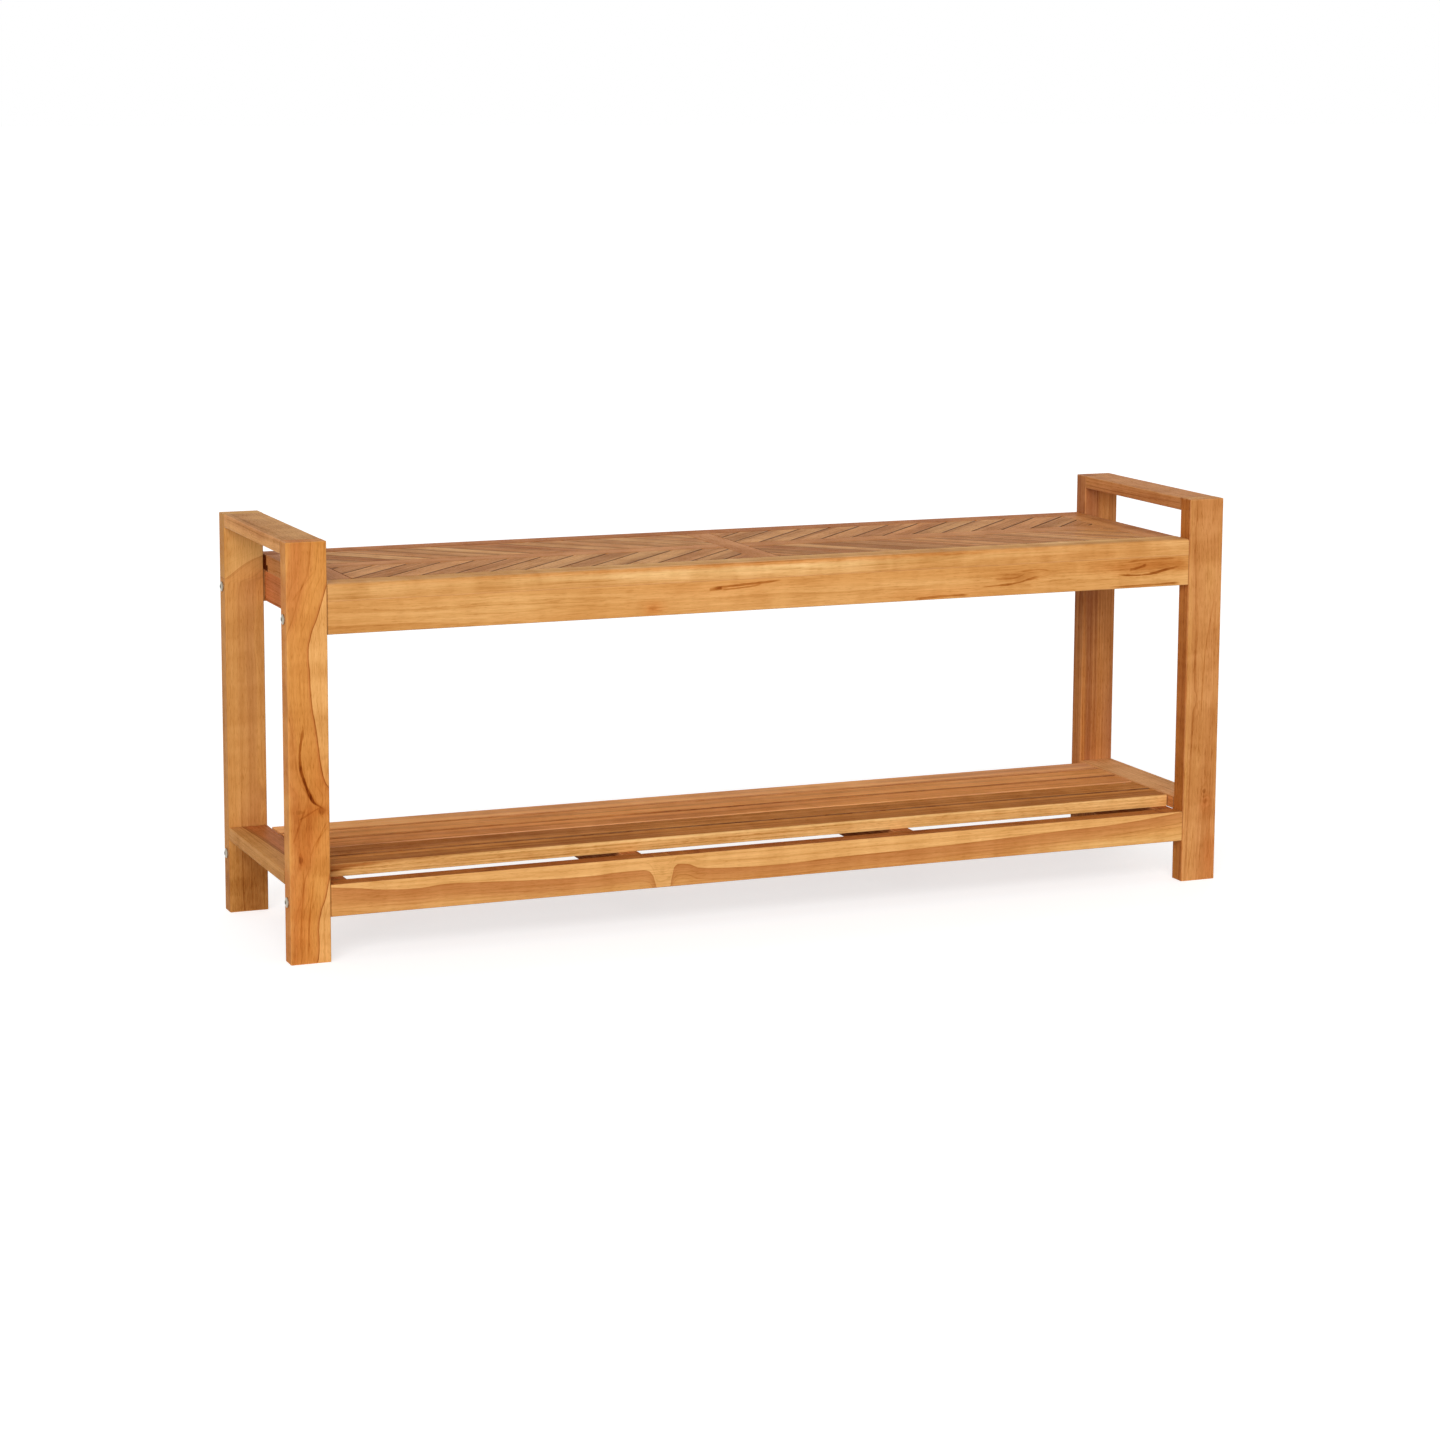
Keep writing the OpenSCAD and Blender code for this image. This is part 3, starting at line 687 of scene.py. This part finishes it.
# Past its front face the rings bend, which is grain, and the top is darker and redder: painted shade
BANDED_RAIL = teak(
    "teak_rail_with_sapwood", "DE9B53", "CB8043", sapwood="EEB26C", heart_edge="B5622C", heart_fade=0.024,
    edge_line=0.3, ring_strength=0.55, ring_gap=0.007, pore_strength=0.3, streaks=0.45, wander=0.0015,
    curl=0.06,
    edge=SHELF_RAIL_EDGE,
    behind=(1, -11.4, -10.4, -30, -2.6, 0.9),
    patches=through(1, (470, -14, 130, 9, 0.9, -0.6), (-400, -16, 220, 10, 0.5, -0.3)),
    knots=through(1, (-150, 3, 5, 7, 3, 0.1), (-143, -9, 6, 5, -3, 0.1)),
)
INNER = teak("teak_inner_rail", "B4662F", "8F4920", ring_strength=0.7, sheen=0.005)
# Its top and front arris are darker and redder than its front face, whose upper part has a lighter band:
# painted shade and a painted highlight
BORDER = teak(
    "teak_border", "FAC680", "DC9E56",
    ring_strength=0.4, ring_gap=0.007, pore_strength=0.25, streaks=0.45, sheen=0.034, curl=0.09,
    behind=(1, -16, -12.5, 0, -0.7, -0.3),
    patches=(
        ((-20, -20.5, 8.2), (330, 4, 3.2), -1.4, 1.2), ((0, -22, 2.5), (460, 5, 3.2), 0.8, -0.3),
        ((0, -22, -10), (THROUGH, 5, 7), -0.4, 0.1), ((430, -22, 0), (130, 9, 9), -0.5, 0.4),
    ),
)
REAR_BORDER = teak(
    "teak_rear_border", "CC8448", "AC6634", sheen=0.02, streaks=0.5, curl=0.09,
    patches=through(0, (17.5, 10, 3, 3, -1.2, 0.2)),
    behind=(1, 17, 17.8, 0, 1.1, -0.4),
)
BAR = teak("teak_bar", "D08648", "B06833", ring_strength=0.5, streaks=0.45, curl=0.09)
# Its slats' sides are darkened with painted shade of the gaps between them
CHEVRON = teak("teak_chevron", "D99855", "A86B3C", ring_strength=0.5, side_shade=-3.6, streaks=0.5, curl=0.09)
SHELF = teak(
    "teak_shelf", "DE8C40", "A85622",
    ring_strength=0.9, wander=0.003, slope=0.002, streaks=1.1, sheen=0.004, base_roughness=0.6,
)
# A lighter band along its front top arris is a painted highlight
SHELF_FRONT = teak(
    "teak_shelf_front_slat", "CF8038", "964719", sapwood="E9B46E", heart_edge="B4642A", heart_fade=0.004,
    ring_strength=0.9, sapwood_radius=0.1018, wander=0.0006, streaks=1, sheen=0.004, base_roughness=0.6,
    edge=((-558, -1.6), (-500, 0.8), (-420, 1.2), (0, 1.2), (500, 1.4), (558, 1.6)), edge_sign=-1,
    patches=through(0, (-20.4, 7, 2.2, 1.6, 2.2, -0.6), (-20.5, -1, 3, 5, -0.5, 0.2)),
)


def metal(name, colour, roughness):
    """Brushed steel with fine turning marks."""
    material, t = blank(bpy.data.materials.new(name))
    place = t.add("TexCoord").outputs["Object"]
    marks = t.noise(place, (900, 2500, 2500), 2, 0.6)
    worn = t.noise(place, (180, 180, 180), 3, 0.6)
    shade = t.span(worn, 0.3, 0.7, 0.86, 1)
    grey = t.add("CombineColor", inputs={0: shade, 1: shade, 2: shade}).outputs[0]
    rough = t.span(marks, 0.2, 0.8, roughness - 0.06, roughness + 0.08)
    surface = t.coat(t.mix(1, colour, grey, "MULTIPLY"), rough, marks, 0.15, 0.1 * MM)
    surface.inputs["Metallic"].default_value = 1
    t.cover(surface)
    return material


BOLT_STEEL = metal("bolt_steel", "B0A898", 0.3)
ZINC = metal("plated_steel", "C9C6BC", 0.38)

# Boards
ARRIS_RADII = (1.5, 1.5, 1.5, 1.5)
# How much darker, in tone, slats' sides are in the gaps between them: painted shade of the gaps
PAINTED_GAP_SHADE = 4.6
# How far in from its side a board takes its side's painted tone, dark in a gap: a slat's whole rounding
PAINTED_SIDE_REACH = 0.95 * MM


# The drills for the fasteners, in mm: diameter and length
BOLT, NUT, DOWEL, THIN_DOWEL, SCREW_HEAD, SCREW = (7, 93), (10.1, 40), (8, 30), (6, 30), (9, 17), (4.1, 49)
# How high the middles of the rails and of the seat's frame lie, and the faces at which boards meet, in mm
SEAT_RAILS, SHELF_RAILS, SEAT_FRAME = 401, 72, 434
RAIL_MIDDLE, RAIL_FACE, BORDER_FACE = 138, 126, 114


def mirrored(*places):
    """Places on both sides of the middle."""
    return sorted({side * place for place in places for side in (-1, 1)})


# The frame's holes: places along X, Y and Z, which are drilled in every combination, an axis and a drill
HOLES = [
    (mirrored(562.5), mirrored(RAIL_MIDDLE), (SEAT_RAILS, SHELF_RAILS), 0, BOLT),
    (mirrored(524), mirrored(RAIL_FACE), (SEAT_RAILS, SHELF_RAILS), 1, NUT),
    (mirrored(572, 596), mirrored(RAIL_FACE), (482, 98), 1, DOWEL),
    (mirrored(0, 268, 546), mirrored(RAIL_FACE), (SEAT_RAILS - 9.5, SEAT_RAILS + 9.5), 1, DOWEL),
    (mirrored(180, 546), mirrored(RAIL_FACE), (SHELF_RAILS - 9.5, SHELF_RAILS + 9.5), 1, DOWEL),
    (mirrored(8, 530, 550), mirrored(BORDER_FACE), (SEAT_FRAME,), 1, THIN_DOWEL),
    (mirrored(16, 520), mirrored(8), (SEAT_FRAME,), 0, THIN_DOWEL),
]
# Screws come from below: the height where they start, and their places along X and Y
for under, xs, ys in (
    (382, mirrored(133, 399), mirrored(RAIL_MIDDLE)),
    (382, mirrored(546), mirrored(60)),
    (382, mirrored(0, 268), (0,)),
    (53, mirrored(180, 546), mirrored(0, 46, 92)),
):
    HOLES += [(xs, ys, (under + 7.5,), 2, SCREW_HEAD), (xs, ys, (under + 24.5,), 2, SCREW)]


def drillings(low, high):
    """Drills for the holes that run into a box."""
    drills = []
    for *places, axis, (diameter, length) in HOLES:
        reach = [(length if i == axis else diameter) / 2 for i in range(3)]
        near = [(low[i] / MM - reach[i], high[i] / MM + reach[i]) for i in range(3)]
        for centre in product(*places):
            if all(start < c < stop for c, (start, stop) in zip(centre, near)):
                drills.append(rod([c * MM for c in centre], axis, diameter * MM, length * MM))
    return drills


def finished(name, vertices, faces, node, material):
    """A visible piece that takes the place of a CAD node."""
    piece = meshed(name, vertices, faces)
    piece.data.materials.append(material)
    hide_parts(node)
    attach(piece, "root")
    return piece


def board(
    node, grain, material, cut, tone=0, red=0, radii=ARRIS_RADII, end=0.6, corners=None, notches=(),
    butted=True, sides=None,
):
    """A board in the box of its CAD node. radii are its long arrises in mm, and cut is its place in the log.

    butted says that its ends meet other boards. sides gives its sides, -1 and 1, a tone of their
    own: painted shade in a narrow gap or recess, and a painted highlight where an arris catches the light.
    """
    low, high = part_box(node)
    order = length_axis, width_axis, up_axis = AXES[grain]
    if corners is None:
        ends = ((low, low), (high, low), (high, high), (low, high))
        corners = [(a[width_axis], b[up_axis], r * MM) for (a, b), r in zip(ends, radii)]
    vertices, faces = milled(corners, high[length_axis] - low[length_axis], end * MM, end * MM)
    vertices = [laid(v, grain, low[length_axis]) for v in vertices]
    piece = finished(node + "_teak", vertices, faces, node, material)
    tools = list(notches) + drillings(low, high)
    if tools:
        cut_away(piece, tools)
    half = (high - low) / 2
    places = [vertex.co - (low + high) / 2 for vertex in piece.data.vertices]
    shades = []
    # A side's own tone is painted shade, which is also redder, or a painted highlight
    for away in places:
        across = away[width_axis]
        on_side = abs(across) > half[width_axis] - PAINTED_SIDE_REACH
        side_tone = (sides or {}).get(math.copysign(1, across), 0) * on_side
        shades.append((tone + side_tone, red + (side_tone < 0), float(butted)))
    plank = [[away[axis] for axis in order] for away in places]
    mark_wood(piece, plank, [cut] * len(places), [[half[axis] for axis in order]] * len(places), shades)
    smooth(piece)


def log_place(side, depth):
    """A place in the log: anywhere along it, side and depth from the pith in mm."""
    return (chance.uniform(-3, 3), side * MM, depth * MM)


# End frames
QUARTER = (0, 0.08, 0)
LEGS = (
    ("left_front_leg", SAPPY_LEG, QUARTER, 0, 0),
    ("left_rear_leg", LIGHT_CORNER_LEG, (0, -0.08, 0), 0, 0),
    ("right_front_leg", LEG, log_place(-12, 45), -2, 0.4),
    ("right_rear_leg", RED_LEG, log_place(60, 12), 0, -0.5),
)
for node, finish, place, tone, red in LEGS:
    board(node, "z", finish, place, tone, red, butted=False)
board("left_arm", "y", LEFT_ARM, log_place(50, -10))
board("right_arm", "y", ARM, log_place(45, 20), -0.3, 0.3)
board("left_stretcher", "y", HALF_SAPPY, (0, 0, -0.08), 0.1)
board("right_stretcher", "y", GOLDEN_ARM, log_place(40, -30), -0.6, 0.6)

# Rails and bearers: the seat's have sharp upper arrises under the borders, the shelf's are rounded all over
SEAT_RAIL_RADII = (1.5, 1.5, 0.6, 0.6)
board("seat_front_rail", "x", RAIL, log_place(45, 18), radii=SEAT_RAIL_RADII, end=0.4)
place = log_place(60, 10)
# Its front face, under the seat and between the legs, is darkened with painted shade
board("seat_rear_rail", "x", RAIL, place, -0.2, radii=SEAT_RAIL_RADII, end=0.4, sides={-1: -4})
board("shelf_front_rail", "x", BANDED_RAIL, (0, 0, 0.08), end=0.4)
board("shelf_rear_rail", "x", RAIL, log_place(50, -40), 3.5, 0.1, end=0.4)
# A crosswise board's width lies along the world's Z, so its lower arrises come first and last
CROSS_RADII = (1.5, 0.6, 0.6, 1.5)
CROSS_BOARDS = (
    "seat_left_end_rail", "seat_right_end_rail", "seat_left_bearer", "seat_middle_bearer", "seat_right_bearer",
    "shelf_left_end_rail", "shelf_right_end_rail", "shelf_left_bearer", "shelf_right_bearer",
)
for node in CROSS_BOARDS:
    place = log_place(chance.uniform(30, 70), chance.uniform(-40, 40))
    tone, red = (2.4, 1.6) if node == "seat_left_end_rail" else (chance.uniform(-0.5, 0.3), 0.4)
    board(node, "y", INNER, place, tone, red, radii=CROSS_RADII)

# Seat frame: rebated boards whose ledges carry the slats
seat_low, seat_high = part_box("seat_front_border")
LEDGE_TOP = seat_high.z - SLAT_THICKNESS
SEAT_UNDER = seat_low.z
SEAT_TOP = seat_high.z
BORDER_IN = HALF_DEPTH - BORDER_WIDTH
HALF_BAR = BAR_WIDTH / 2
FRONT_ROUND, END_ROUND, TOP_ARRIS, HIDDEN = 4 * MM, 1.5 * MM, 0.8 * MM, 0.5 * MM
# How far a cutter reaches past what it takes away, and to each side where it crosses a spine
SLACK, WIDE = 5 * MM, 50 * MM
END_BORDER_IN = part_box("seat_right_border")[0].x + LEDGE
RAIL_END = seat_high.x


def ledged(edge):
    """The corners of a board's edge, from which its ledge sticks out to lower values: (up, across, radius)."""
    ledge = [(up, edge - LEDGE, HIDDEN) for up in (SEAT_UNDER, LEDGE_TOP)]
    return [*ledge, (LEDGE_TOP, edge, HIDDEN), (SEAT_TOP, edge, TOP_ARRIS)]


def bordered(edge, outside, rounding):
    return [*ledged(edge), (SEAT_TOP, outside, rounding), (SEAT_UNDER, outside, HIDDEN)]


def long_border(node, side):
    corners = bordered(BORDER_IN, HALF_DEPTH, FRONT_ROUND)
    corners = [(across * side, up, r) for up, across, r in (reversed(corners) if side > 0 else corners)]
    material, tone, red = (BORDER, 0, 0) if side < 0 else (REAR_BORDER, -1.4, 0.4)
    board(node, "x", material, log_place(60, 20 * side), tone, red, corners=corners, end=0.4)


long_border("seat_front_border", -1)
long_border("seat_rear_border", 1)


def lapped_ends(low_x, high_x):
    """Notches that let a crosswise board lap over the ledges of the two long borders."""
    notches = []
    for front, back in ((-BORDER_IN - SLACK, -BORDER_IN + LEDGE), (BORDER_IN - LEDGE, BORDER_IN + SLACK)):
        notches.append(block((low_x - SLACK, front, SEAT_UNDER - SLACK), (high_x + SLACK, back, LEDGE_TOP)))
    return notches


def end_border(node, side):
    corners = bordered(END_BORDER_IN, RAIL_END, END_ROUND)
    if side < 0:
        corners = [(up, -across, r) for up, across, r in reversed(corners)]
    low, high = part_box(node)
    notches = lapped_ends(low.x, high.x)
    board(node, "y", BAR, log_place(70, 15), 0, corners=corners, end=0.5, notches=notches)


end_border("seat_left_border", -1)
end_border("seat_right_border", 1)

cross_corners = ledged(-HALF_BAR)
cross_corners += [(up, -across, r) for up, across, r in reversed(cross_corners)]
place = log_place(45, 30)
laps = lapped_ends(-HALF_BAR - LEDGE, HALF_BAR + LEDGE)
board("seat_cross_bar", "y", BAR, place, -0.1, corners=cross_corners, end=0.5, notches=laps)


def spine(node, side):
    corners = [(across, up, r) for up, across, r in reversed(cross_corners)]
    low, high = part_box(node)
    notches = []
    for start, end in ((low.x - SLACK, low.x + LEDGE), (high.x - LEDGE, high.x + SLACK)):
        notches.append(block((start, -WIDE, SEAT_UNDER - SLACK), (end, WIDE, LEDGE_TOP)))
    board(node, "x", BAR, log_place(55, 5 * side), 0.1, corners=corners, end=0.5, notches=notches)


spine("seat_left_spine", -1)
spine("seat_right_spine", 1)


def trimmed(points, axis, limit, keep_above):
    """The part of a polygon on one side of a line across an axis."""
    kept = []
    for i, here in enumerate(points):
        before = points[i - 1]
        inside_here = (here[axis] > limit) == keep_above
        inside_before = (before[axis] > limit) == keep_above
        if inside_here != inside_before:
            share = (limit - before[axis]) / (here[axis] - before[axis])
            kept.append(before.lerp(here, share))
        if inside_here:
            kept.append(here)
    return kept


# Chevron slats: strips at 45 degrees, trimmed to the panel that they fill
PANEL_LENGTH = END_BORDER_IN - HALF_BAR
PANEL_DEPTH = BORDER_IN - HALF_BAR
PITCH = PANEL_LENGTH / SLATS_PER_PANEL
SLAT_WIDTH = PITCH * math.cos(math.pi / 4) - CHEVRON_GAP
DIAGONAL = Vector((1, 1)) / math.sqrt(2)
ACROSS = Vector((-1, 1)) / math.sqrt(2)
# How far a strip reaches before and beyond its start, in metres, until it is trimmed
STRIP_BEFORE, STRIP_BEYOND = 0.3, 0.6
SLAT_ARRIS, HIDDEN_END = 0.7 * MM, 0.4 * MM
# How far below the seat's face the sides of a slat start to darken with painted shade of the gaps, and over
# what depth
UNSHADED_DEPTH, DARKENING = 0.04 * MM, 0.3 * MM


def chevron_panel(node, side, row):
    """One panel of slats. side and row are the signs of X and Y where the panel lies."""
    vertices, faces, woods = [], [], []
    for k in range(-math.ceil(PANEL_DEPTH / PITCH), SLATS_PER_PANEL):
        start = Vector((PITCH * (k + 0.5), 0))
        ends = ((-STRIP_BEFORE, -1), (STRIP_BEYOND, -1), (STRIP_BEYOND, 1), (-STRIP_BEFORE, 1))
        strip = [start + DIAGONAL * along + ACROSS * across * SLAT_WIDTH / 2 for along, across in ends]
        for axis, size in ((0, PANEL_LENGTH), (1, PANEL_DEPTH)):
            strip = trimmed(trimmed(strip, axis, PANEL_GAP, True), axis, size - PANEL_GAP, False)
        corners = [(p.x, p.y, SLAT_ARRIS) for p in strip]
        thickness = SLAT_THICKNESS - chance.uniform(0, 0.12) * MM
        some, some_faces = milled(corners, thickness, HIDDEN_END, SLAT_ARRIS)
        base = len(vertices)
        cut = Vector(log_place(chance.choice((-1, 1)) * chance.uniform(15, 70), chance.uniform(10, 60)))
        shade = (chance.uniform(-0.4, 0.5), chance.uniform(-0.4, 0.4))
        centre = start + DIAGONAL * PANEL_DEPTH / math.sqrt(2)
        for v in some:
            plan = Vector((v.y, v.z))
            away = plan - centre
            local = Vector((away.dot(DIAGONAL), away.dot(ACROSS), v.x - SLAT_THICKNESS / 2))
            # The sides of a slat take painted shade of the gap between slats
            in_gap = min(max((SLAT_THICKNESS - UNSHADED_DEPTH - v.x) / DARKENING, 0), 1)
            woods.append((local, cut, (shade[0] - PAINTED_GAP_SHADE * in_gap, shade[1] + in_gap, 0)))
            x, y = (END_BORDER_IN - plan.x) * side, (BORDER_IN - plan.y) * row
            vertices.append(Vector((x, y, v.x + LEDGE_TOP)))
        flipped = side * row < 0
        faces += [tuple(base + i for i in (reversed(f) if flipped else f)) for f in some_faces]
    piece = finished(node + "_teak", vertices, faces, node, CHEVRON)
    plank, cuts, shades = zip(*woods)
    mark_wood(piece, plank, cuts, [(1, SLAT_WIDTH / 2, SLAT_THICKNESS / 2)] * len(woods), shades)
    smooth(piece)


for side, side_name in ((-1, "left"), (1, "right")):
    for row, row_name in ((-1, "front"), (1, "rear")):
        chevron_panel(f"chevron_slats_{row_name}_{side_name}", side, row)

# Shelf slats, from the front: finish, place in the log, tone, redness, and the tones of front and rear sides.
# The tones grow lighter towards the rear, partly the wood and partly painted light; the sides carry painted
# shade of the gaps, and slat 3's front side a painted highlight on its arris.
SHELF_SLATS = (
    (SHELF_FRONT, (0, -0.08, -0.02), 0.2, 0.3, 0, -PAINTED_GAP_SHADE),
    (SHELF, (1.3, -0.045, 0.020), -1, -0.5, -PAINTED_GAP_SHADE, -PAINTED_GAP_SHADE),
    (SHELF, (-1.1, 0.060, -0.010), 1.6, 0.3, 2.4, -PAINTED_GAP_SHADE),
    (SHELF, (2.2, 0.035, 0.030), 1.8, 0, -PAINTED_GAP_SHADE, -PAINTED_GAP_SHADE),
    (SHELF, (-2, -0.060, 0.015), 4.1, -0.2, -PAINTED_GAP_SHADE, 0),
)
SLAT_RADII = (0.75, 0.75, 1, 1)
for i, (finish, place, tone, red, front, rear) in enumerate(SHELF_SLATS):
    node = f"shelf_slat_{i + 1}"
    sides = {-1: front, 1: rear}
    board(node, "x", finish, place, tone, red, radii=SLAT_RADII, butted=False, sides=sides)


def dowel_wood():
    """Plain beech with a fine grain along Y."""
    material, t = blank(bpy.data.materials.new("beech_dowel"))
    place = t.add("TexCoord").outputs["Object"]
    grain = t.noise(place, (900, 60, 900), 3, 0.6)
    t.cover(t.coat(t.mix(grain, "D9B98C", "B98F60"), t.span(grain, 0.2, 0.8, 0.55, 0.7), grain, 0.2, 0.2 * MM))
    return material


# Fasteners: the frame's own, with their finishes
FASTENER_FINISHES = {"bolts": BOLT_STEEL, "nuts": ZINC, "screws": ZINC, "dowels": dowel_wood()}
for node, cad_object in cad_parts.items():
    finish = FASTENER_FINISHES.get(node.split("_")[-1])
    if finish:
        cad_object.data.materials.clear()
        cad_object.data.materials.append(finish)

# Floor, light and camera
ROOM_LIGHT = 0.36
FLOOR_GLOW = 0.64
FLOOR_REACH = 60
# Lamps: name, where the light comes from, spread in degrees, strength, and whether it gleams
LAMPS = (
    ("key", (-1.7, -3, 1.3), 45, 2.1, True),
    ("back", (1, 3.2, 1.2), 60, 0.8, False),
)
# The camera's place in metres, how far it turns to the right, looks down and leans in degrees, and its lens
CAMERA_PLACE = (-1.6454, -3.9466, 1.0151)
CAMERA_TURNS = (22.44, 8.64, 0.266)
LENS, SENSOR_WIDTH, LENS_SHIFT = 87.37, 36, -0.08


def seen_itself(t):
    """1 where the camera, a gleam or clear stuff shows the thing itself, and 0 where it only lights others."""
    path = t.add("LightPath").outputs
    seen = t.most(path["Is Glossy Ray"], path["Is Transmission Ray"])
    return t.most(path["Is Camera Ray"], seen)


def studio_floor():
    """A pale floor that the camera sees as white, but for the bench's shadow. From below it is clear."""
    corners = [(x * FLOOR_REACH, y * FLOOR_REACH, 0) for x, y in ((-1, -1), (1, -1), (1, 1), (-1, 1))]
    floor = meshed("floor", corners, [(0, 1, 2, 3)])
    material, t = blank(bpy.data.materials.new("pale_floor"))
    surface = t.add("BsdfPrincipled")
    surface.inputs["Base Color"].default_value = (0.7, 0.7, 0.7, 1)
    surface.inputs["Roughness"].default_value = 1
    surface.inputs["Specular IOR Level"].default_value = 0
    glow = t.add("Emission", inputs={"Strength": t.times(seen_itself(t), FLOOR_GLOW)})
    both = t.add("AddShader", inputs={0: surface.outputs[0], 1: glow.outputs[0]})
    clear = t.add("BsdfTransparent")
    below = t.add("NewGeometry").outputs["Backfacing"]
    one_sided = t.add("MixShader", inputs={0: below, 1: both.outputs[0], 2: clear.outputs[0]})
    t.cover(one_sided)
    floor.data.materials.append(material)


def studio_light():
    bpy.context.scene.world, t = blank(bpy.data.worlds.new("studio"))
    strength = t.ramp(seen_itself(t), 0, 1, ROOM_LIGHT, 1)
    sky = t.add("Background", inputs={"Color": (1, 1, 1, 1), "Strength": strength})
    t.add("OutputWorld", inputs={"Surface": sky.outputs[0]})
    for name, place, soft, power, gleams in LAMPS:
        lamp = bpy.data.lights.new(name, "SUN")
        lamp.angle = math.radians(soft)
        lamp.energy = power
        stand = linked(name, lamp)
        stand.location = place
        stand.visible_glossy = gleams
        stand.rotation_euler = (-Vector(place)).to_track_quat("-Z", "Y").to_euler()


def camera():
    """Level with the arms and to the left of the bench, looking a little down along it."""
    data = bpy.data.cameras.new("camera")
    data.sensor_width = SENSOR_WIDTH
    data.lens = LENS
    data.shift_y = LENS_SHIFT
    eye = linked("camera", data)
    eye.location = CAMERA_PLACE
    yaw, pitch, roll = (math.radians(v) for v in CAMERA_TURNS)
    turn = Euler((math.pi / 2 - pitch, 0, -yaw)).to_matrix() @ Matrix.Rotation(roll, 3, "Z")
    eye.rotation_euler = turn.to_euler()
    bpy.context.scene.camera = eye


studio_floor()
studio_light()
camera()
bpy.context.scene.view_settings.view_transform = "Standard"
